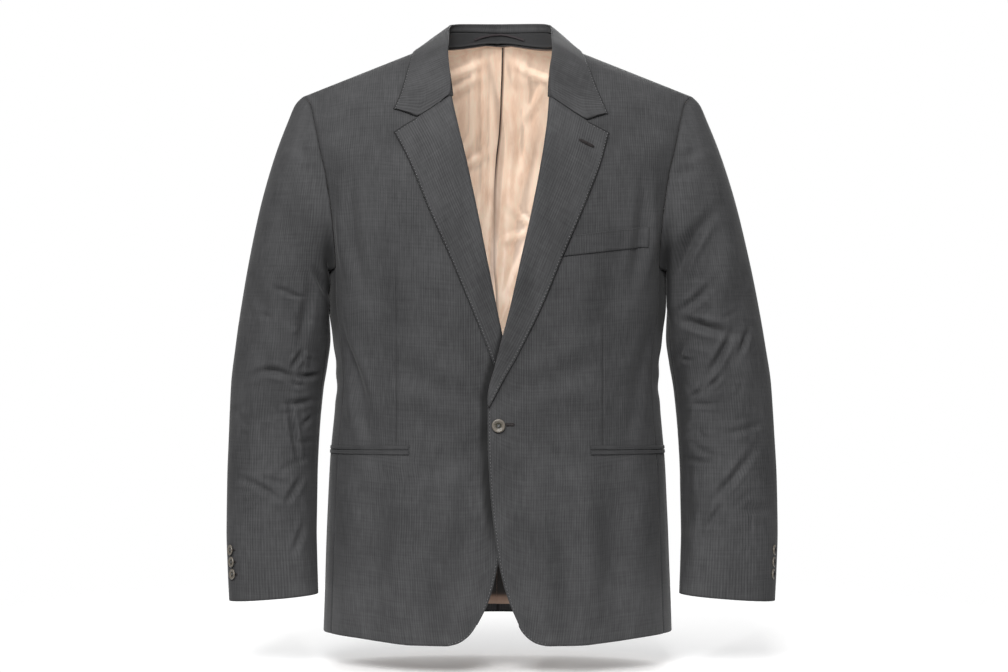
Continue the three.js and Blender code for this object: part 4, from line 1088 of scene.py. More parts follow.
def sleeves():
    for side in SIDES:
        points, turn, fore_at, hind_at = sleeve_tube(side)
        count = points.shape[1]
        pieces = {
            "under": list(range(fore_at, hind_at + 1)),
            "top": [i % count for i in range(hind_at, fore_at + count + 1)],
        }
        for name, columns in pieces.items():
            part = points[:, columns]
            outward = mirrored(part - points.mean(axis=1)[:, None], side)
            shade = np.maximum(armpit_shade(part), inner_shade(side, part))
            add_half(
                side, f"cloth_{name}_sleeve", f"{name}_sleeve", part, outward, SLEEVE_CLOTH,
                sleeve_cut(part), "front", marks=shade, rim=SLEEVE_RIM,
            )


# Lapels
def roll_lift(w):
    """How far lapel and collar lie off the front, most by the roll."""
    return LAPEL_OFF + ROLL_LIFT * (1 - ease(0, 0.45, w))


def gorge_top(side):
    """x and z of the inner end of the gorge."""
    x = side["startAt"](GORGE_LEVEL) + ROLL_INSET
    return float(x), float(GORGE_LEVEL - section["drop"](row_of(GORGE_LEVEL)) * slope_run(x))


def gorge_line(side, tip, sign, w):
    """x and z along the gorge and on past the notch to a tip, above it or below it."""
    top = gorge_top(side)
    inside = w <= NOTCH_SHARE
    t = np.where(inside, w / NOTCH_SHARE, (w - NOTCH_SHARE) / (1 - NOTCH_SHARE))
    gap = sign * GORGE_GAP * np.where(inside, t**8, 1 - t)
    x = np.where(inside, mix(top[0], side["notch"][0], t), mix(side["notch"][0], tip[0], t))
    z = np.where(inside, mix(top[1], side["notch"][1], t), mix(side["notch"][1], tip[1], t))
    return x, z + gap


def lapel_point(side, v, w, off=0.0):
    """A point on the turned-out face of a lapel, v from break to gorge and w out from the roll."""
    first, last = side["edge"][0], side["edge"][-1]
    tip = (last["x"], last["z"])
    roll_level = mix(BREAK_LEVEL + 2, GORGE_LEVEL, v)
    edge_z = mix(first["z"], last["z"], v)
    roll_x = side["startAt"](roll_level) + mix(1.0, ROLL_INSET, ease(0, 0.1, v))
    roll_z = roll_level - section["drop"](row_of(roll_level)) * slope_run(roll_x) - GORGE_GAP * v
    bend = ease(0.8, 1, v)
    top_x, top_z = gorge_line(side, tip, -1, w)
    start_x, start_z = gorge_line(side, tip, -1, np.zeros_like(w))
    x = mix(roll_x, side["edgeAt"](edge_z), w) + bend * (top_x - mix(start_x, tip[0], w))
    z = mix(roll_z, edge_z, w) + bend * (top_z - mix(start_z, tip[1], w))
    lift = (roll_lift(w) - LAPEL_OFF) * ease(0.05, 0.45, v)
    wave = 0.7 * np.sin(v * 9 + w * 2 + side["sign"]) * ease(0.2, 0.7, w) * ease(0.05, 0.3, v)
    return front_point(side, x, level_at(x, z), LAPEL_OFF + lift + wave + off)


def rolled_edge(side, v, turn):
    """The roll at the neckline: half a turn round the edge of the front, 180 at its inside end."""


    def at(v, w=0.0):
        return lapel_point(side, v, np.full_like(v, w))

    top = at(v)
    along = unit(at(np.minimum(v + 0.01, 1)) - at(np.maximum(v - 0.01, 0)))
    next_out = at(v, 0.03) - top
    out = unit(next_out - along * (next_out * along).sum(-1, keepdims=True))
    normal = unit(np.cross(along, out))
    normal = np.where(normal[..., 1:2] > 0, -normal, normal)
    lift = LAPEL_OFF + ROLL_LIFT * ease(0.05, 0.45, v)
    half = (lift + BODY_CLOTH + ROLL_UNDER) / 2
    reach = mix(0.8, ROLL_REACH, ease(0, 0.08, v))
    angle = np.radians(turn)
    rise = (half * (np.cos(angle) - 1))[..., None]
    return top + normal * rise - out * (reach * np.sin(angle))[..., None]


def lapels():
    turned = np.linspace(180, 0, 9)[:-1]
    shares = np.concatenate([np.linspace(0, 0.12, 5), np.linspace(0.16, 0.94, 26), [0.97, 0.985, 1]])
    v = np.concatenate([np.linspace(0, 0.04, 6)[:-1], np.linspace(0.04, 0.97, 100), [0.98, 0.99, 1]])
    v_roll, turn = np.meshgrid(v, turned, indexing="ij")
    v_face, w_face = np.meshgrid(v, shares, indexing="ij")
    rolled = np.arange(len(turned) + len(shares)) < len(turned)
    faint = rolled | (np.append(turned * 0, shares) < NOTCH_SHARE)
    # Painted shade along the lapel's edges, faint along its roll and the gorge.
    rim = np.where(faint[None, :] & (v[:, None] > 0.5), GORGE_RIM, 1.0)
    for side in SIDES:
        face = lapel_point(side, v_face, w_face)
        points = np.concatenate([rolled_edge(side, v_roll, turn), face], axis=1)
        walked = runs(points, 1)
        down = np.broadcast_to(runs(points, 0)[:, -1:], walked.shape)
        cut = np.stack([walked[:, -1:] - walked, down], -1)
        level = level_at(points[..., 0], points[..., 2])
        add_half(
            side, "cloth_lapel", "lapel", points, (0, -1, 0), FACING_CLOTH, cut, "front", held="folded",
            marks=overlap_shade(side, points[..., 0] + 5, level), rim=rim,
        )


# Collar
collar_curves = {key: curve(COLLAR, key, "at") for key in COLLAR[0] if key != "at"}


def neck_seam(side, count=90):
    """Points of the neck seam from the middle of the back to the gorge, evenly apart."""
    back = np.linspace(row_of(NAPE_LEVEL), TOP, 120)
    front = np.linspace(TOP, row_of(GORGE_LEVEL + 2), 160)[1:]
    back_level, front_level = section["level"](back), section["level"](front)
    behind = body_point(1, np.where(back_level > NAPE_LEVEL, back_neck(back_level), 0), back)
    before = body_point(-1, side["startAt"](front_level), front)
    seam = np.concatenate([behind, before])
    walked = runs(seam, 0)
    even = np.linspace(0, walked[-1], count)
    return np.stack([np.interp(even, walked, seam[:, k]) for k in range(3)], -1), even / walked[-1]


def clear_of_body(points, off):
    """Pushes points out of the body until they are a distance off its surface."""
    points = points.copy()
    for _ in range(4):
        x, y, z = points[..., 0], points[..., 1], points[..., 2]
        top_row = row_of(level_at(x, z))
        face = np.where(y > 0, 1, -1)
        best, push = np.full(x.shape, -99.0), np.zeros_like(points)
        for down in CLEAR_ROWS:
            row = np.maximum(top_row - down, 0)
            normal = body_normal(face, x, row)
            away = ((points - body_point(face, x, row)) * normal).sum(-1)
            push = np.where((away > best)[..., None], normal, push)
            best = np.maximum(away, best)
        points += push * np.maximum(off - best, 0)[..., None]
    return points


def bezier(a, b, c, d, t):
    """The cubic curve from a to d that b and c pull on."""
    s = 1 - t
    return a * s**3 + b * 3 * s * s * t + c * 3 * s * t * t + d * t**3


def collar_side(side):
    """What one half of the collar is built from: seam, roll and edge by station."""
    seam, at = neck_seam(side)
    c = collar_curves
    widen = (side["tip"][0] - COLLAR[-1]["edgeX"]) * ease(0.55, 1, at)
    shift = COLLAR_SHIFT * side["sign"] + side["rollOut"] * ease(0.2, 0.36, at) * ease(1, 0.7, at)
    roll = vectors(c["rollX"](at) + shift, c["rollY"](at), c["rollZ"](at))
    over = c["over"](at)
    face = np.where(over > 0, 1, -1)
    edge_x, edge_row = c["edgeX"](at) + widen, TOP - np.abs(over)
    normal = body_normal(face, edge_x, edge_row)
    closer = CREST_CLOSER * ease(0.22, 0.36, at) * ease(0.78, 0.62, at)
    edge = body_point(face, edge_x, edge_row) + normal * (LAPEL_OFF - closer)[:, None]
    out = edge - roll
    out[..., 2] = 0
    return {
        "at": at, "seam": seam, "roll": roll, "edge": edge, "normal": normal, "closer": closer,
        "swell": c["swell"](at)[:, None], "up": unit(roll - seam), "out": unit(out),
    }


def leaf_points(side, half, shares):
    """The leaf comes down from the fold to its edge on the body, and melts into the gorge."""
    top = half["roll"] + half["up"] * (COLLAR_CLOTH + ROLL_ROOM)
    start = top + half["out"] * (half["swell"] + 2)
    land = mix(half["edge"], half["roll"], 0.35) + half["normal"] * half["swell"]
    top = top - half["out"] * (COLLAR_CLOTH + 0.3)
    w = shares[None, :, None]
    free = bezier(top[:, None], start[:, None], land[:, None], half["edge"][:, None], w)
    end_x, end_z = gorge_line(side, side["tip"], 1, shares)
    laid = front_point(side, end_x, level_at(end_x, end_z), roll_lift(shares))
    melt = np.clip((half["at"] - GORGE_MELT) / (1 - GORGE_MELT), 0, 1) ** 1.5
    off = LEAF_OFF - half["closer"][:, None]
    return clear_of_body(mix(free, laid[None], melt[:, None, None]), off), top, melt


def collar_grid(side):
    """One half of the leaf with the part that is turned in over the stand, by station."""
    half = collar_side(side)
    shares = np.concatenate([np.linspace(0, 0.2, 7), np.linspace(0.24, 0.95, 20), [0.98, 1]])
    leaf, top, melt = leaf_points(side, half, shares)
    inward = -half["out"]
    drops = np.linspace(FLAP, 1, 4)
    flap = (half["roll"] + inward * FLAP_IN)[:, None] - half["up"][:, None] * drops[None, :, None]
    foot = half["roll"] + inward * FLAP_IN - half["up"]
    fold = bezier(
        foot[:, None], (half["roll"] + half["up"] * 2.4 + inward * 2.4)[:, None],
        (top + inward * 1.2)[:, None], top[:, None], np.linspace(0, 1, 7)[None, 1:-1, None],
    )
    free = np.concatenate([flap, fold], axis=1)
    turns = np.linspace(180, 0, free.shape[1] + 1)[:-1]
    v = np.ones((len(half["at"]), len(turns)))
    wrapped = rolled_edge(side, v, np.broadcast_to(turns, v.shape))
    wrapped = wrapped + (half["seam"] - half["seam"][-1])[:, None]
    inner = mix(free, wrapped, (melt**0.7)[:, None, None])
    return np.concatenate([inner, leaf], axis=1), half


def collar():
    left, left_half = collar_grid(SIDES[0])
    right, right_half = collar_grid(SIDES[1])
    points = np.concatenate([mirrored(right, SIDES[1])[:0:-1], left])
    rows, columns = points.shape[:2]
    walked = runs(points, 0)[:, -1:] * np.ones(columns)
    cut = np.stack([walked, runs(points, 1)], -1)
    # Painted shade along the leaf's edges, faint at its ends by the gorge.
    near_end = np.minimum(np.arange(rows), np.arange(rows)[::-1]) < 6
    faint = np.arange(columns) < columns - LEAF_TIP_COLUMNS
    add_cloth(
        "cloth_collar_leaf", "collar_leaf", points, points - COLLAR_MIDDLE, COLLAR_CLOTH, cut,
        ["cloth_collar_stand"], held="folded",
        rim=np.where(near_end[:, None] & faint[None, :], GORGE_RIM, LEAF_RIM),
    )
    stand = [stand_grid(SIDES[1], right_half), stand_grid(SIDES[0], left_half)]
    points = np.concatenate([stand[0][:0:-1], stand[1]])
    cut = np.stack([runs(points, 0)[:, :1] * np.ones(points.shape[1]), runs(points, 1)], -1)
    add_cloth(
        "cloth_collar_stand", "collar_stand", points, points * (1, 1, 0), COLLAR_CLOTH, cut,
        ["back_left", "back_right"], slot="tape", held="folded",
    )
    hanger_loop(left_half, right_half)


def stand_grid(side, half):
    """One half of the stand, from its foot over the lining up to the turned-in leaf."""
    tall = np.linalg.norm(half["roll"] - half["seam"], axis=-1)
    reach = (tall - FLAP - SEAM_GAP) * mix(1, STAND_SHORT, ease(0.3, 0.6, half["at"]))
    reach = np.maximum(reach * (1 - ease(0.8, 1, half["at"])), 2.5)
    rise = mix(-STAND_FOOT, reach[:, None, None], np.linspace(1, 0, 12)[None, :, None])
    tuck = 1.7 * ease(3, -1, rise) * ease(0.62, 0.42, half["at"])[:, None, None]
    return mirrored(half["seam"][:, None] + half["up"][:, None] * rise - half["out"][:, None] * tuck, side)


def hanger_loop(left_half, right_half):
    """A narrow tape across the inside of the stand, a little higher in the middle."""
    lines = {}
    for key in ("seam", "roll"):
        lines[key] = np.concatenate([mirrored(right_half[key], SIDES[1])[:0:-1], left_half[key]])
    behind = lines["seam"][:, 1] > 0
    t = np.linspace(-1, 1, 40)
    x = t * LOOP["half"] + COLLAR_SHIFT / 2
    low, high = (
        np.stack([np.interp(x, line[behind, 0], line[behind, k]) for k in (1, 2)], -1)
        for line in (lines["seam"], lines["roll"])
    )
    inside = COLLAR_CLOTH + LOOP["off"] + LOOP["thick"] + 0.6 * (1 - t * t)
    rows = []
    for edge in np.linspace(1, 0, 6):
        rise = mix(LOOP["high"], LOOP["low"], np.abs(t) ** 1.4) + edge * LOOP["wide"] / LOOP["standHeight"]
        yz = mix(low, high, rise[:, None])
        rows.append(vectors(x, yz[:, 0] - inside, yz[:, 1]))
    points = np.array(rows)
    cut = np.stack([runs(points, 1), runs(points, 0)], -1)
    add_cloth(
        "tape_hanger_loop", "hanger_loop", points, (0, -1, 0), LOOP["thick"], cut,
        ["cloth_collar_stand"], slot="tape", held="stretched", finish="loop",
    )


# Lining
def lining_grid(side):
    """Points, x and shade of one half of the lining. The left one laps over the right at the pleat."""
    sign = side["sign"]

    def start(level):
        pleat = pleat_line(level)
        fold = pleat + 0.5 if sign > 0 else -pleat - PLEAT["lap"]
        return np.maximum(fold, np.where(level > NAPE_LEVEL, back_neck(level), -99))

    x, levels = back_grid(lambda share: back_hem(share) + LINING_HEM, start, 90)
    z = level_height(x, levels)
    wave = LINING_FOLD_GAIN * fold_depth(LINING_FOLDS, x * sign, z) + ripple(x * sign, z * 0.5, 0.5, 5)
    wave = wave * ease(16, -8, levels) * ease(0, 20, section["arm"](row_of(levels)) - x)
    lift = PLEAT["lift"] * (1 - ease(6, 34, x)) * ease(12, -25, levels) if sign > 0 else 0
    off = np.minimum(wave, 0.3) - LINING_GAP - BODY_CLOTH - lift
    shade = ease(-560, -640, z) * mix(1, 0.68, ease(-720, -739, z))
    shade = np.maximum(shade, HOLLOW_SHADE * np.clip(wave / 2, 0, 1))
    if sign > 0:
        pleat_shade = mix(0.5, 0.97, ease(-270, -120, z)) * ease(4.6, 2.2, x - x[:, :1])
        shade = np.maximum(shade, pleat_shade)
    return back_point(x, levels, off, back_seed(side)), x, shade


def linings():
    for side in SIDES:
        points, x, shade = lining_grid(side)
        add_half(
            side, "satin_lining", "lining", points, (0, 1, 0), LINING_CLOTH, body_cut(points, x[:, 0]),
            "back", slot="lining", marks=shade, rim=LINING_RIM,
        )


# Pockets
def jet_grid(side, sign):
    """Points and normals of the jet above a hip pocket's slit, sign 1, or below it, sign -1."""
    p = HIP_POCKET
    share = np.linspace(0, 1, 60)[None, :]
    edge = np.linspace(0, 1, 7)[:, None]
    rise = sign * (p["slit"] / 2 + edge * mix(p["jet"], p["jetOut"], share))
    level = p["level"] - p["fall"] * share + rise
    turn = np.broadcast_to(mix(side["pocket"], p["outer"], share), level.shape)
    row = row_of(level)
    points = ring_point(turn, row)
    normal = surface_normal(ring_point, turn, row, 0.5, 0.02)
    sink = BODY_FOLD_GAIN * fold_depth(side["folds"], points[..., 0], points[..., 2])
    sink = sink * seam_fade(points[..., 0], row)
    return points + normal * (JET_OFF - sink + 0.2 * np.sin(np.pi * edge))[..., None], normal


def pockets():
    for side in SIDES:
        for name, sign in (("upper", 1), ("lower", -1)):
            points, normal = jet_grid(side, sign)
            cut = np.stack([runs(points, 0) + 3, runs(points, 1)], -1)
            add_half(
                side, f"cloth_jet_{name}", f"pocket_jet_{name}", points, mirrored(normal, side),
                JET_CLOTH, cut, "front", held="stretched", rim=POCKET_RIM,
            )
    breast_welt()


def breast_welt():
    """The breast welt on the wearer's left, one end tucked under the lapel."""
    w = BREAST_WELT
    rise = np.linspace(-0.5, 0.5, 15)[:, None]
    share = np.linspace(0, 1, 50)[None, :]
    inner = SIDES[0]["edgeAt"](w["innerZ"] + rise * w["high"]) + 1.0
    x = mix(inner, w["outerX"] + rise * w["lean"], share)
    z = mix(w["innerZ"], w["outerZ"], share) + rise * w["high"]
    points = front_point(SIDES[0], x, level_at(x, z), WELT_OFF)
    cut = np.stack([x, z], -1)
    add_cloth(
        "cloth_breast_welt", "breast_welt", points, (0, -1, 0), WELT_CLOTH, cut, ["front_left"],
        held="stretched", rim=POCKET_RIM,
    )


# Finishes
class Wire:
    """A shader socket that adds Math nodes when it is used in an expression."""

    def __init__(self, graph, socket):
        self.graph = graph
        self.socket = socket

    def maths(self, operation, *values):
        return self.graph.node("ShaderNodeMath", values, operation=operation)

    def __add__(self, other):
        return self.maths("ADD", self, other)

    __radd__ = __add__

    def __sub__(self, other):
        return self.maths("SUBTRACT", self, other)

    def __rsub__(self, other):
        return self.maths("SUBTRACT", other, self)

    def __mul__(self, other):
        return self.maths("MULTIPLY", self, other)

    __rmul__ = __mul__

    def sine(self):
        return self.maths("SINE", self)

    def between(self, low, high):
        """0 below low and 1 above high, with a smooth step between them."""
        sockets = {"Value": self, "From Min": low, "From Max": high}
        return self.graph.node("ShaderNodeMapRange", sockets, interpolation_type="SMOOTHSTEP")


class Graph:
    """A tree of nodes that grows as nodes are asked for."""

    def __init__(self, tree):
        self.tree = tree

    def connect(self, socket, value):
        if isinstance(value, Wire):
            self.tree.links.new(value.socket, socket)
        else:
            socket.default_value = value

    def node(self, kind, sockets=(), output=0, **settings):
        """Adds a node with its settings and sockets, and gives one of its outputs."""
        made = self.tree.nodes.new(kind)
        for key, value in settings.items():
            setattr(made, key, value)
        pairs = sockets.items() if isinstance(sockets, dict) else enumerate(sockets)
        for key, value in pairs:
            self.connect(made.inputs[key], value)
        return Wire(self, made.outputs[output])


class Finish(Graph):
    """A material built from nodes."""

    def __init__(self, name):
        self.material = bpy.data.materials.new(name)
        self.material.use_nodes = True
        super().__init__(self.material.node_tree)
        self.shader = self.tree.nodes["Principled BSDF"]

    def blend(self, share, first, second):
        return self.node("ShaderNodeMix", {0: share, 6: first, 7: second}, output=2, data_type="RGBA")

    def vector(self, x, y, z=0.0):
        return self.node("ShaderNodeCombineXYZ", (x, y, z))

    def noise(self, vector, scale=1.0, detail=2.0, roughness=0.5):
        sockets = {"Vector": vector, "Scale": scale, "Detail": detail, "Roughness": roughness}
        return self.node("ShaderNodeTexNoise", sockets, noise_dimensions="3D")

    def cut_place(self):
        """Millimetres across and along the flat cloth."""
        uv = self.node("ShaderNodeUVMap", uv_map="cut")
        scaled = self.node("ShaderNodeVectorMath", {0: uv, "Scale": 1 / MM}, operation="SCALE")
        x = self.node("ShaderNodeSeparateXYZ", (scaled,), output=0)
        y = self.node("ShaderNodeSeparateXYZ", (scaled,), output=1)
        return x, y

    def attribute(self, name):
        return self.node("ShaderNodeAttribute", output=2, attribute_name=name)

    def bump(self, height, distance, strength=1.0):
        sockets = {"Height": height, "Distance": distance, "Strength": strength}
        return self.node("ShaderNodeBump", sockets)

    def set(self, **sockets):
        for name, value in sockets.items():
            self.connect(self.shader.inputs[name.replace("_", " ")], value)


def rgba(colour, gain=1.0):
    """A colour, lighter or darker by a gain."""
    return (*(channel * gain for channel in colour), 1)


def suiting_finish(name, sizes, gain=1.0):
    """Fine tonal stripes of a light wool cloth, with a slight sheen."""
    finish = Finish(name)
    across, along = finish.cut_place()
    stripe = (across * (math.tau / sizes.stripe)).sine() * 0.5
    clusters = finish.noise(finish.vector(across * 0.045, along * 0.004, 7.0), 1.0, 2.0, 0.6)
    stripe_share = clusters.between(0.35, 0.7) * 0.14 + 0.09
    streaks = finish.noise(finish.vector(across * 0.5, along * 0.035), 1.0, 4.0, 0.7)
    slubs = finish.noise(finish.vector(across * 0.02, along * 0.4), 1.0, 3.0, 0.6)
    twill = ((across + along) * (math.tau / sizes.weave)).sine() * 0.5 + 0.5
    mottle = finish.noise(finish.vector(across * 0.02, along * 0.012, 3.0), 1.0, 3.0, 0.6)
    tone = stripe * stripe_share + streaks * 0.75 + slubs * 0.35 + twill * 0.1 + mottle * 0.6 - 0.44
    colour = finish.blend(tone.between(0.0, 1.0), rgba(sizes.dark, gain), rgba(sizes.light, gain))
    # Painted shade: the cloth goes darker by the rim attribute along edges, in creases and where parts
    # overlap.
    rim = finish.attribute("rim")
    colour = finish.blend(rim * 0.92, colour, rgba(sizes.dark, gain * 0.25))
    height = streaks * 0.5 + twill * 0.35 + slubs * 0.2 + stripe * 0.2
    finish.set(
        Base_Color=colour,
        Roughness=0.72 + streaks * 0.16,
        Normal=finish.bump(height, 0.00025, 0.5),
        Sheen_Weight=sizes.sheen,
        Sheen_Roughness=0.45,
        Specular_IOR_Level=0.35,
    )
    return finish.material


def tape_finish(name, sizes):
    """Plain dark cloth of the inside of the collar."""
    finish = Finish(name)
    across, along = finish.cut_place()
    ribs = (across * (math.tau / 1.1)).sine() * 0.5 + 0.5
    fibres = finish.noise(finish.vector(across, along), 0.8, 3.0, 0.6)
    tone = ribs * 0.25 + fibres * 0.9 - 0.1
    colour = finish.blend(tone.between(0.1, 0.9), rgba(sizes.dark, 0.55), rgba(sizes.light, 0.62))
    finish.set(
        Base_Color=colour,
        Roughness=0.85,
        Normal=finish.bump(fibres * 0.6 + ribs * 0.3, 0.0003, 0.5),
        Sheen_Weight=0.1,
        Specular_IOR_Level=0.3,
    )
    return finish.material


def satin_finish(name, sizes):
    """Champagne satin with a soft gloss and faint crumples."""
    finish = Finish(name)
    across, along = finish.cut_place()
    crumple = finish.noise(finish.vector(across * 0.06, along * 0.022), 1.0, 3.0, 0.55)
    threads = finish.noise(finish.vector(across * 1.4, along * 0.08), 1.0, 2.0, 0.5)
    tone = crumple * 0.9 + threads * 0.2 + 0.02
    # Painted shade and light: noise crumples between the satin's shaded and lit colours.
    colour = finish.blend(tone.between(0.25, 0.75), rgba(sizes.shade), rgba(sizes.colour))
    # Painted shade from the rim attribute: in the hollows, the pleat, low down inside the hem and along
    # the edges, near black where strongest.
    mark = finish.attribute("rim")
    colour = finish.blend(mark * 0.95, colour, rgba(sizes.depth))
    colour = finish.blend(mark.between(0.84, 1.0), colour, rgba(sizes.depth, 0.05))
    finish.set(
        Base_Color=colour,
        Roughness=0.36 + threads * 0.14,
        Normal=finish.bump(crumple * 1.6 + threads * 0.06, 0.0012, 0.5),
        # Painted light: the lining glows faintly in its own colour, so that it looks evenly lit.
        Emission_Color=colour,
        Emission_Strength=0.16,
        Sheen_Weight=0.12,
        Specular_IOR_Level=0.5,
        Anisotropic=0.35,
    )
    return finish.material


def horn_finish(name, sizes):
    """Grey-brown horn, pale round the rim and dark in the sunk middle."""
    finish = Finish(name)
    place = finish.node("ShaderNodeTexCoord", output=3)
    grain = finish.noise(place, 420.0, 4.0, 0.6)
    clouds = finish.noise(place, 130.0, 2.0, 0.5)
    out = finish.attribute("radius")
    pale = finish.blend(grain.between(0.3, 0.7), rgba(sizes.rim, 0.78), rgba(sizes.rim, 1.15))
    dark = finish.blend(clouds.between(0.3, 0.7), rgba(sizes.middle, 0.7), rgba(sizes.middle, 1.25))
    colour = finish.blend((out + grain * 0.06).between(0.42, 0.62), dark, pale)
    finish.set(
        Base_Color=colour,
        Roughness=0.26 + grain * 0.16,
        Normal=finish.bump(grain, 0.00012, 0.35),
        Coat_Weight=0.25,
        Coat_Roughness=0.15,
    )
    return finish.material


def thread_finish(name, colour):
    finish = Finish(name)
    place = finish.node("ShaderNodeTexCoord", output=3)
    fibres = finish.noise(place, 2600.0, 3.0, 0.6)
    shades = finish.blend(fibres.between(0.3, 0.7), rgba(colour, 0.7), rgba(colour, 1.2))
    finish.set(Base_Color=shades, Roughness=0.7, Normal=finish.bump(fibres, 0.0001, 0.6))
    return finish.material


def floor_finish(name, sizes):
    """A pale floor that fades out round the jacket into the pale surroundings."""
    finish = Finish(name)
    place = finish.node("ShaderNodeTexCoord", output=3)
    away = finish.node("ShaderNodeVectorMath", (place,), output=1, operation="LENGTH")
    specks = finish.noise(place, 60.0, 2.0, 0.5)
    colour = finish.blend(specks.between(0.2, 0.8), rgba(sizes.floor), rgba(sizes.floor, 0.985))
    finish.set(
        Base_Color=colour,
        Roughness=0.9,
        Alpha=1.0 - away.between(0.42, 0.85),
        Emission_Color=(1, 1, 1, 1),
        Emission_Strength=0.15,
        Specular_IOR_Level=0.1,
    )
    return finish.material


FINISHES = {}


def finish_of(slot):
    """The material of a slot, made once."""
    if slot not in FINISHES:
        scene = bpy.context.scene
        makers = {
            "suiting": lambda: suiting_finish("Striped suiting", scene.jacket_suiting),
            "tape": lambda: tape_finish("Collar cloth", scene.jacket_suiting),
            "lining": lambda: satin_finish("Lining satin", scene.jacket_lining),
            "button": lambda: horn_finish("Horn", scene.jacket_buttons),
            "thread": lambda: thread_finish("Sewing thread", scene.jacket_sewing.colour),
            "loop": lambda: thread_finish("Loop tape", LOOP["colour"]),
            "hole": lambda: thread_finish("Buttonhole thread", HOLE_COLOUR),
        }
        FINISHES[slot] = makers[slot]()
    return FINISHES[slot]


# Sewn and turned pieces
def joined(parts):
    """Points and faces of several parts as those of one mesh."""
    corners, faces = [], []
    for points, made in parts:
        faces += [tuple(i + len(corners) for i in face) for face in made]
        corners += points.tolist()
    return corners, faces


# Buttons. The profile gives shares of the radius and of the thickness, from the back round to the front.
BUTTON_PROFILE = np.array([
    (0.0, 0.0), (0.55, 0.0), (0.8, 0.1), (0.94, 0.3), (1.0, 0.55), (0.985, 0.78), (0.93, 0.94),
    (0.86, 1.0), (0.77, 0.98), (0.68, 0.88), (0.61, 0.72), (0.55, 0.6), (0.46, 0.54), (0.3, 0.52),
    (0.0, 0.52),
])


def turned_button(name, radius, thick, centre, normal):
    """A dished four-hole button with a rolled rim, turned to face along its normal."""
    sides = 48
    turn = np.arange(sides) * math.tau / sides
    inner = BUTTON_PROFILE[1:-1]
    ring = np.stack([
        inner[:, None, 0] * np.cos(turn) * radius,
        inner[:, None, 0] * np.sin(turn) * radius,
        np.broadcast_to(inner[:, None, 1] * thick, (len(inner), sides)),
    ], -1)
    top = (0, 0, BUTTON_PROFILE[-1, 1] * thick)
    points = np.concatenate([[(0, 0, 0)], ring.reshape(-1, 3), [top]])
    last = len(points) - 1
    faces = []
    for k in range(sides):
        n = (k + 1) % sides
        faces.append((0, 1 + n, 1 + k))
        base = 1 + (len(inner) - 1) * sides
        faces.append((base + k, base + n, last))
        for j in range(len(inner) - 1):
            a = 1 + j * sides
            faces.append((a + k, a + n, a + sides + n, a + sides + k))
    mesh = bpy.data.meshes.new(name)
    mesh.from_pydata(points.tolist(), [], faces)
    mesh.update()
    drilled = drill(mesh, radius, thick)
    place_mesh(drilled, centre, normal, radius)
    return drilled


def drill(mesh, radius, thick):
    """Four sewing holes through the middle of a button."""
    pins = []
    sides = 12
    for k in range(4):
        angle = math.tau * (k + 0.5) / 4
        middle = np.array([math.cos(angle), math.sin(angle)]) * radius * 0.22
        turn = np.arange(sides) * math.tau / sides
        spots = middle + np.column_stack([np.cos(turn), np.sin(turn)]) * radius * 0.085
        ends = [np.column_stack([spots, np.full(sides, z)]) for z in (-1.0, thick + 1.0)]
        faces = [(s, (s + 1) % sides, sides + (s + 1) % sides, sides + s) for s in range(sides)]
        faces += [tuple(range(sides - 1, -1, -1)), tuple(range(sides, 2 * sides))]
        pins.append((np.concatenate(ends), faces))
    corners, faces = joined(pins)
    pin_mesh = bpy.data.meshes.new("pins")
    pin_mesh.from_pydata(corners, [], faces)
    blank, tool = in_scene("button_blank", mesh), in_scene("pins", pin_mesh)
    cutter = blank.modifiers.new("holes", "BOOLEAN")
    cutter.operation = "DIFFERENCE"
    cutter.object = tool
    cutter.solver = "EXACT"
    made = finished_mesh(blank)
    bpy.data.objects.remove(tool)
    return made


def basis_for(normal):
    """Three axes, the last along a normal and the first level."""
    normal = unit(np.asarray(normal, float))
    level = unit(np.cross((0, 0, 1), normal))
    return np.stack([level, np.cross(normal, level), normal])


def place_mesh(mesh, centre, normal, radius):
    """Turns a mesh made in mm round the origin to its place, and notes how far out each point is."""
    points = np.empty(len(mesh.vertices) * 3, np.float32)
    mesh.vertices.foreach_get("co", points)
    points = points.reshape(-1, 3)
    out = np.hypot(points[:, 0], points[:, 1]) / radius
    placed = points @ basis_for(normal) + np.asarray(centre)
    mesh.vertices.foreach_set("co", (placed * MM).astype(np.float32).ravel())
    attribute = mesh.attributes.new("radius", "FLOAT", "POINT")
    attribute.data.foreach_set("value", out.astype(np.float32))
    mesh.shade_smooth()
    mesh.update()


def tube_along(points, radius, sides=8):
    """Points and faces of a round thread along a path, closed at both ends."""
    points = np.asarray(points, float)
    along = unit(np.gradient(points, axis=0))
    first = unit(np.cross(along, (0.13, 0.27, 0.95)))
    second = np.cross(along, first)
    turn = np.arange(sides) * math.tau / sides
    ring = points[:, None] + radius * (
        first[:, None] * np.cos(turn)[None, :, None] + second[:, None] * np.sin(turn)[None, :, None]
    )
    corners = np.concatenate([ring.reshape(-1, 3), points[:1], points[-1:]])
    faces = []
    last = (len(points) - 1) * sides
    for s in range(sides):
        n = (s + 1) % sides
        faces += [(i + s, i + n, i + sides + n, i + sides + s) for i in range(0, last, sides)]
        faces += [(last + sides, n, s), (last + sides + 1, last + s, last + n)]
    return corners, faces


def sewn_cross(radius, thick, centre, normal):
    """The crossed threads that hold a button, as a list of points and faces."""
    parts = []
    for k in range(2):
        angle = math.tau * (k + 0.5) / 4
        along = np.array([math.cos(angle), math.sin(angle)])
        for shift in (-0.05, 0.05):
            t = np.linspace(-1, 1, 9)
            aside = np.array([-along[1], along[0]]) * shift * radius
            rise = thick * (0.5 + 0.16 * (1 - t**4)) + 0.12 * k
            path = np.column_stack([t[:, None] * along * radius * 0.24 + aside, rise])
            path[0, 2] = path[-1, 2] = thick * 0.2
            points, faces = tube_along(path, radius * 0.035, 7)
            parts.append((points @ basis_for(normal) + np.asarray(centre), faces))
    return parts


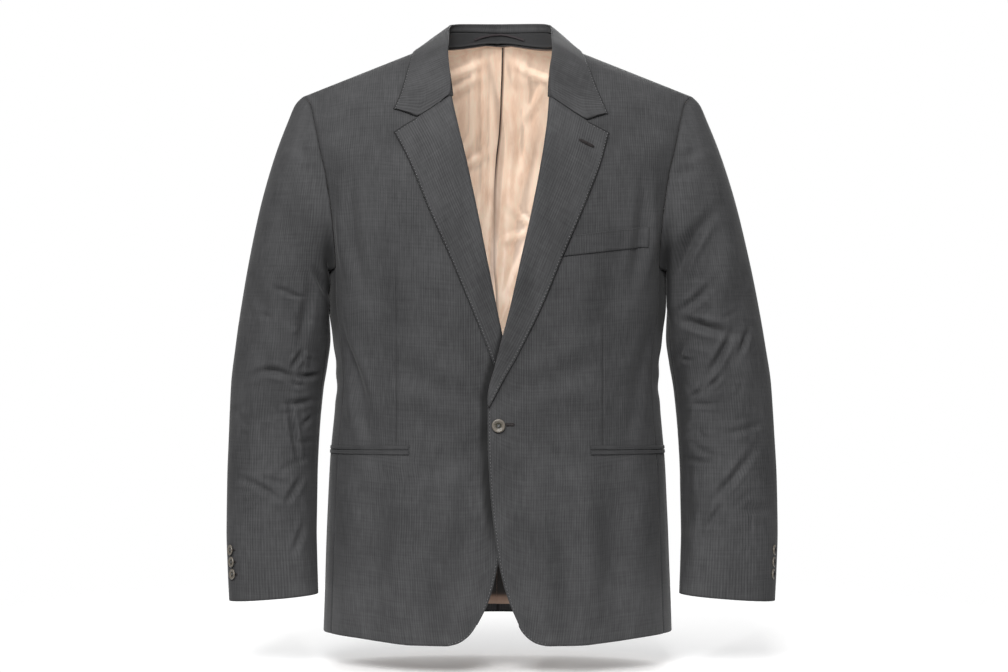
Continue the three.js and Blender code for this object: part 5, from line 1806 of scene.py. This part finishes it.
def buttons():
    threads = []
    for node, sizes, normal in button_list():
        low, high = (np.array(corner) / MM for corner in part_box(node))
        centre = (low + high) / 2 - normal * sizes["thick"] / 2 + (sizes["aside"], 0, 0)
        mesh = turned_button(f"horn_{node}", sizes["radius"], sizes["thick"], centre, normal)
        add_piece(f"horn_{node}", mesh, finish_of("button"), [node])
        threads += sewn_cross(sizes["radius"], sizes["thick"], centre, normal)
    corners, faces = joined(threads)
    mesh = mesh_of("thread_buttons", np.array(corners), faces)
    add_piece("thread_buttons", mesh, finish_of("thread"))


def cuff_turn(side, ring):
    """Turn round the sleeve at which the cuff buttons sit, in from its back seam."""
    return sleeve_curves["hind"](ring) + vent_swing(side, ring) + CUFF_BUTTON["turnIn"]


def cuff_normal(side, ring, turn):
    """Inward normal of a sleeve."""
    return surface_normal(lambda a, b: sleeve_point(side, a, b), ring, turn, 0.05, 1.0)


def button_list():
    """Each button's node, sizes and outward direction."""
    found = [("front_button", FRONT_BUTTON, np.array([0.0, -1.0, 0.02]))]
    for side in SIDES:
        for i, ring in enumerate(CUFF_BUTTON["rings"]):
            normal = unit(mirrored(-cuff_normal(side, ring, cuff_turn(side, ring)), side))
            found.append((f"cuff_button_{side['name']}_{i + 1}", CUFF_BUTTON, normal))
    return found


# Sewing
THREAD_OFF = 0.1  # how far the sewing lies off the cloth
QUARTER_TOP = -735


def stitch_tree():
    """Geometry Nodes that lay short stitches along paths."""
    graph = Graph(bpy.data.node_groups.new("Stitches", "GeometryNodeTree"))
    face = graph.tree.interface
    kinds = {"Geometry": "Geometry", "Pitch": "Float", "Length": "Float", "Width": "Float", "Seed": "Int",
             "Thread": "Material"}
    for name, kind in kinds.items():
        face.new_socket(name, in_out="INPUT", socket_type="NodeSocket" + kind)
    face.new_socket("Geometry", in_out="OUTPUT", socket_type="NodeSocketGeometry")
    source, result = (graph.tree.nodes.new(kind) for kind in ("NodeGroupInput", "NodeGroupOutput"))
    given = {name: Wire(graph, source.outputs[name]) for name in kinds}
    path = graph.node("GeometryNodeMeshToCurve", {"Mesh": given["Geometry"]})
    walked = {"Curve": path, "Length": given["Pitch"]}
    spots = graph.node("GeometryNodeResampleCurve", walked, mode="LENGTH")
    ball = graph.node("GeometryNodeMeshUVSphere", {"Segments": 6, "Rings": 5, "Radius": 0.5})
    limits = {"Min": 0.8, "Max": 1.2, "Seed": given["Seed"]}
    uneven = graph.node("FunctionNodeRandomValue", limits, output=1, data_type="FLOAT")
    sizes = (given["Width"], given["Width"], given["Length"] * uneven)
    size = graph.node("ShaderNodeCombineXYZ", sizes)
    tangent = graph.node("GeometryNodeInputTangent")
    turn = graph.node("FunctionNodeAlignRotationToVector", {"Vector": tangent}, axis="Z")
    laid = {"Points": spots, "Instance": ball, "Rotation": turn, "Scale": size}
    stitches = graph.node("GeometryNodeInstanceOnPoints", laid)
    real = graph.node("GeometryNodeRealizeInstances", (stitches,))
    smooth = graph.node("GeometryNodeSetShadeSmooth", (real,))
    sewn = graph.node("GeometryNodeSetMaterial", {"Geometry": smooth, "Material": given["Thread"]})
    graph.connect(result.inputs[0], sewn)
    return graph.tree


def sew(name, paths, settings):
    """Stitches along paths of points in mm, as one plain mesh."""
    points, edges = [], []
    for path in paths:
        edges += [(len(points) + i, len(points) + i + 1) for i in range(len(path) - 1)]
        points += (np.asarray(path) * MM).tolist()
    mesh = bpy.data.meshes.new(name)
    mesh.from_pydata(points, edges, [])
    guide = in_scene(name + "_guide", mesh)
    modifier = guide.modifiers.new("Stitches", "NODES")
    modifier.node_group = stitch_tree()
    values = {
        "Pitch": settings.pitch * MM, "Length": settings.length * MM, "Width": settings.width * MM,
        "Seed": settings.seed, "Thread": finish_of("thread"),
    }
    for item in modifier.node_group.interface.items_tree:
        if item.in_out == "INPUT" and item.name in values:
            modifier[item.identifier] = values[item.name]
    add_piece(name, finished_mesh(guide), finish_of("thread"))


def front_edge_path(side, inset, low, high):
    """Along the straight edge of a front, in from it."""
    level = np.linspace(low, high, 120)
    return mirrored(front_point(side, side["startAt"](level) + inset, level, THREAD_OFF), side)


def quarter_path(side, inset):
    """Along the rounded foot of a front, in from its edge."""
    x = np.linspace(side["startAt"](QUARTER_TOP) + inset, 60, 60)
    return mirrored(front_point(side, x, quarter(x) + inset * 1.1, THREAD_OFF), side)


def lapel_paths(side, inset):
    """Along the outer edge of a lapel and its short top edge."""
    v = np.linspace(0.03, 1, 160)
    across = lapel_point(side, v, np.ones_like(v)) - lapel_point(side, v, np.zeros_like(v))
    w = 1 - inset / np.maximum(np.linalg.norm(across, axis=-1), 8)
    v_top = 1 - inset / 330
    w_top = np.linspace(w[-1], NOTCH_SHARE + 0.02, 30)
    edge = lapel_point(side, np.minimum(v, v_top), w, THREAD_OFF)
    top = lapel_point(side, np.full_like(w_top, v_top), w_top, THREAD_OFF)
    return [mirrored(edge, side), mirrored(top, side)]


def collar_path(side, inset):
    """Along the outer edge of one half of the collar."""
    half = collar_side(side)
    steps = 200
    leaf, _, _ = leaf_points(side, half, np.linspace(0, 1, steps + 1))
    share = (1 - inset / np.linalg.norm(half["edge"] - half["roll"], axis=-1)) * steps
    low = np.floor(share).astype(int)
    rows = np.arange(len(low))
    line = mix(leaf[rows, low], leaf[rows, np.minimum(low + 1, steps)], (share - low)[:, None])
    normal = unit(np.cross(np.gradient(line, axis=0), leaf[rows, steps] - line))
    inward = (normal * (line - COLLAR_MIDDLE)).sum(-1, keepdims=True) < 0
    return mirrored(line + np.where(inward, -normal, normal) * THREAD_OFF, side)


def worked_hole(path, normals, wide):
    """A worked buttonhole along a path of points: a raised rim of thread round a dark slit."""
    along = unit(np.gradient(path, axis=0))
    aside = np.cross(normals, along)
    t = np.linspace(-1, 1, len(path))[:, None]
    swell = np.sqrt(np.clip(1 - t**8, 0, 1)) * wide / 2
    upper, lower = path + aside * swell, path - aside * swell
    rim = np.concatenate([upper, lower[::-1], upper[:2]]) + normals[0] * 0.25
    slit = path[1:-1] + normals[1:-1] * 0.15
    return [tube_along(rim, wide * 0.2, 8), tube_along(slit, wide * 0.34, 8)]


def front_hole(hole, off):
    """A worked hole through the left front, off its surface."""

    def surface(x, z):
        return front_point(SIDES[0], x, level_at(x, z), off)

    t = np.linspace(0, 1, 16)
    x, z = mix(hole["start"], hole["end"], t), mix(hole["startZ"], hole["endZ"], t)
    normal = surface_normal(surface, x, z, 0.5, 0.5)
    return worked_hole(surface(x, z), -normal * np.sign(normal[:, 1:2]), hole["wide"])


def cuff_hole(side, ring):
    """A worked hole beside a cuff button."""
    turns = cuff_turn(side, ring) + np.linspace(CUFF_HOLE["start"], CUFF_HOLE["end"], 12)
    path = sleeve_point(side, ring, turns)
    normal = cuff_normal(side, ring, turns)
    away = path - sleeve_point(side, ring, turns + 180)
    normal = normal * np.sign((normal * away).sum(-1, keepdims=True))
    path = mirrored(path + normal * THREAD_OFF, side)
    return worked_hole(path, mirrored(normal, side), CUFF_HOLE["wide"])


def buttonholes():
    """The worked holes of the front button, of the lapel and of both cuffs."""
    pieces = front_hole(FRONT_HOLE, 0.0) + front_hole(LAPEL_HOLE, LAPEL_OFF + THREAD_OFF)
    for side in SIDES:
        for ring in CUFF_BUTTON["rings"]:
            pieces += cuff_hole(side, ring)
    corners, faces = joined(pieces)
    mesh = mesh_of("thread_buttonholes", np.array(corners), faces)
    add_piece("thread_buttonholes", mesh, finish_of("hole"))


def sewing():
    settings = bpy.context.scene.jacket_sewing
    paths = []
    for side in SIDES:
        paths.append(front_edge_path(side, settings.inset, -715, BREAK_LEVEL - 4))
        paths.append(quarter_path(side, settings.inset))
        paths += lapel_paths(side, settings.inset)
    paths += [collar_path(side, settings.inset) for side in SIDES]
    sew("thread_edge_stitches", paths, settings)
    buttonholes()


# Stage, in metres and watts
LIGHTS = table(
    "name place size power",
    ("front", (-0.3, -2.5, 1.1), 1.2, 80),
    ("key", (-2.0, -1.9, 1.2), 1.2, 30),
    ("fill", (2.0, -2.3, 0.5), 1.4, 14),
    ("top", (0.0, -0.7, 2.2), 2.0, 20),
    ("back", (0.3, 2.8, 0.9), 1.8, 90),
)
LIGHTS_AIM = (0, 0, -0.36)


def add_floor(sizes):
    mesh = bpy.data.meshes.new("floor")
    turns = [math.tau * k / 48 for k in range(48)]
    ring = [(FLOOR_REACH * math.cos(turn), FLOOR_REACH * math.sin(turn), 0) for turn in turns]
    mesh.from_pydata(ring, [], [tuple(range(len(ring)))])
    mesh.materials.append(floor_finish("Pale floor", sizes))
    floor = in_scene("floor", mesh)
    floor.location = (0, FLOOR_BACK, FLOOR_LEVEL * MM)


def add_air(strength):
    """Even light from all round, and a white ground behind the jacket."""
    world = bpy.data.worlds.new("Studio")
    bpy.context.scene.world = world
    world.use_nodes = True
    nodes, links = world.node_tree.nodes, world.node_tree.links
    air = nodes["Background"]
    air.inputs["Color"].default_value = (1, 1, 1, 1)
    air.inputs["Strength"].default_value = strength
    seen = nodes.new("ShaderNodeBackground")
    seen.inputs["Color"].default_value = (1, 1, 1, 1)
    path = nodes.new("ShaderNodeLightPath")
    pick = nodes.new("ShaderNodeMixShader")
    links.new(path.outputs["Is Camera Ray"], pick.inputs[0])
    links.new(air.outputs[0], pick.inputs[1])
    links.new(seen.outputs[0], pick.inputs[2])
    links.new(pick.outputs[0], nodes["World Output"].inputs["Surface"])


def add_camera():
    camera = in_scene("camera", bpy.data.cameras.new("camera"))
    camera.location = [value * MM for value in CAMERA_PLACE]
    camera.rotation_euler = (math.pi / 2, 0, 0)
    camera.data.lens = CAMERA_LENS
    camera.data.sensor_width = 36
    bpy.context.scene.camera = camera


def stage():
    sizes = bpy.context.scene.jacket_stage
    add_floor(sizes)
    for light in LIGHTS:
        data = bpy.data.lights.new(light["name"], "AREA")
        data.energy = light["power"] * sizes.strength
        data.size = light["size"]
        aim(in_scene(light["name"], data), light["place"], LIGHTS_AIM)
    add_air(sizes.air)
    bpy.context.scene.view_settings.view_transform = "Standard"
    add_camera()


def aim(lamp, place, target):
    """Places a lamp and turns it to face a point."""
    x, y, z = np.array(target) - np.array(place)
    lamp.location = place
    tilt = math.pi / 2 + math.atan2(z, math.hypot(x, y))
    lamp.rotation_euler = (tilt, 0, math.atan2(y, x) - math.pi / 2)


# Settings that a user would change
def colour_setting(name, description, default):
    return FloatVectorProperty(
        name=name, description=description, default=default, subtype="COLOR", min=0, max=1,
    )


def size_setting(name, description, default, low, high):
    """A size on the cloth, in millimetres."""
    return FloatProperty(name=name, description=description, default=default, min=low, max=high)


class JacketSuiting(bpy.types.PropertyGroup):
    light: colour_setting("Light thread", "Colour of the paler stripes", (0.070, 0.070, 0.072))
    dark: colour_setting("Dark thread", "Colour of the darker stripes", (0.0175, 0.0175, 0.0185))
    stripe: size_setting("Stripe", "Pitch of the stripes in mm", 3.1, 1, 40)
    weave: size_setting("Weave", "Pitch of the twill in mm", 1.2, 0.3, 6)
    sheen: FloatProperty(
        name="Sheen", description="How much the nap shines", default=0.1, min=0, max=1, subtype="FACTOR",
    )


class JacketLining(bpy.types.PropertyGroup):
    colour: colour_setting("Satin", "Colour of the lining in the light", (0.95, 0.74, 0.575))
    shade: colour_setting("Satin in shade", "Colour of the lining in its hollows", (0.74, 0.50, 0.36))
    # The colour of the painted shade in the pleat, in the hollows and low down inside the hem.
    depth: colour_setting("Pleat", "Colour of the depth of the pleat", (0.10, 0.045, 0.028))


class JacketButtons(bpy.types.PropertyGroup):
    rim: colour_setting("Rim", "Colour of the rim of the buttons", (0.14, 0.122, 0.1))
    middle: colour_setting("Middle", "Colour of the sunk middle of the buttons", (0.03, 0.027, 0.017))


class JacketSewing(bpy.types.PropertyGroup):
    colour: colour_setting("Thread", "Colour of the sewing thread", (0.15, 0.15, 0.152))
    pitch: size_setting("Pitch", "Spacing of the edge stitches in mm", 4.2, 2, 12)
    length: size_setting("Length", "Length of an edge stitch in mm", 1.7, 0.5, 5)
    width: size_setting("Width", "Width of an edge stitch in mm", 0.7, 0.2, 2)
    inset: size_setting("Inset", "Distance of the stitches from the edge in mm", 2.6, 1, 12)
    seed: IntProperty(
        name="Seed", description="Number that the uneven stitches start from", default=7, min=0,
    )


class JacketStage(bpy.types.PropertyGroup):
    floor: colour_setting("Floor", "Colour of the floor", (0.92, 0.92, 0.92))
    strength: FloatProperty(
        name="Lamps", description="Strength of all the lamps", default=1.0, min=0, max=10,
    )
    air: FloatProperty(name="Air", description="Strength of the even light", default=0.16, min=0, max=10)


class MakeBody(bpy.types.Operator):
    """Makes the fronts, the backs and the side pieces"""

    bl_idname = "jacket.body"
    bl_label = "Body"

    def execute(self, context):
        fronts()
        backs()
        sides()
        return {"FINISHED"}


class MakeSleeves(bpy.types.Operator):
    """Makes the two pieces of each sleeve with their folds"""

    bl_idname = "jacket.sleeves"
    bl_label = "Sleeves"

    def execute(self, context):
        sleeves()
        return {"FINISHED"}


class MakeLapels(bpy.types.Operator):
    """Makes the turned-out lapels with their rolled edges"""

    bl_idname = "jacket.lapels"
    bl_label = "Lapels"

    def execute(self, context):
        lapels()
        return {"FINISHED"}


class MakeCollar(bpy.types.Operator):
    """Makes the collar's leaf and stand and the hanger tape"""

    bl_idname = "jacket.collar"
    bl_label = "Collar"

    def execute(self, context):
        collar()
        return {"FINISHED"}


class MakeLining(bpy.types.Operator):
    """Makes the two halves of the satin lining of the back"""

    bl_idname = "jacket.lining"
    bl_label = "Lining"

    def execute(self, context):
        linings()
        return {"FINISHED"}


class MakePockets(bpy.types.Operator):
    """Makes the jets of the hip pockets and the breast welt"""

    bl_idname = "jacket.pockets"
    bl_label = "Pockets"

    def execute(self, context):
        pockets()
        return {"FINISHED"}


class MakeButtons(bpy.types.Operator):
    """Makes the front button and the cuff buttons with their threads"""

    bl_idname = "jacket.buttons"
    bl_label = "Buttons"

    def execute(self, context):
        buttons()
        return {"FINISHED"}


class MakeSewing(bpy.types.Operator):
    """Makes the stitches along the edges"""

    bl_idname = "jacket.sewing"
    bl_label = "Sewing"

    def execute(self, context):
        sewing()
        return {"FINISHED"}


class MakeStage(bpy.types.Operator):
    """Makes the floor, the lamps and the camera"""

    bl_idname = "jacket.stage"
    bl_label = "Stage"

    def execute(self, context):
        stage()
        return {"FINISHED"}


class JacketPanel(bpy.types.Panel):
    """Lists what makes the jacket"""

    bl_idname = "VIEW3D_PT_jacket"
    bl_label = "Suit Jacket"
    bl_space_type = "VIEW_3D"
    bl_region_type = "UI"
    bl_category = "Jacket"

    def draw(self, context):
        for operator in OPERATORS:
            self.layout.operator(operator.bl_idname)
        for key in SETTINGS:
            group = getattr(context.scene, key)
            box = self.layout.box()
            for name in group.bl_rna.properties.keys():
                if name not in ("name", "rna_type"):
                    box.prop(group, name)


SETTINGS = {
    "jacket_suiting": JacketSuiting,
    "jacket_lining": JacketLining,
    "jacket_buttons": JacketButtons,
    "jacket_sewing": JacketSewing,
    "jacket_stage": JacketStage,
}
OPERATORS = (
    MakeBody, MakeSleeves, MakeLapels, MakeCollar, MakeLining, MakePockets, MakeButtons, MakeSewing,
    MakeStage,
)


def register():
    for kind in (*SETTINGS.values(), *OPERATORS, JacketPanel):
        bpy.utils.register_class(kind)
    for key, kind in SETTINGS.items():
        setattr(bpy.types.Scene, key, PointerProperty(type=kind))


def unregister():
    for key in SETTINGS:
        delattr(bpy.types.Scene, key)
    for kind in (JacketPanel, *reversed(OPERATORS), *SETTINGS.values()):
        bpy.utils.unregister_class(kind)


def main():
    register()
    bpy.ops.jacket.stage()
    bpy.ops.jacket.body()
    bpy.ops.jacket.sleeves()
    bpy.ops.jacket.lapels()
    bpy.ops.jacket.collar()
    bpy.ops.jacket.lining()
    bpy.ops.jacket.pockets()
    bpy.ops.jacket.buttons()
    bpy.ops.jacket.sewing()
    bpy.context.view_layer.update()


if __name__ == "__main__":
    main()
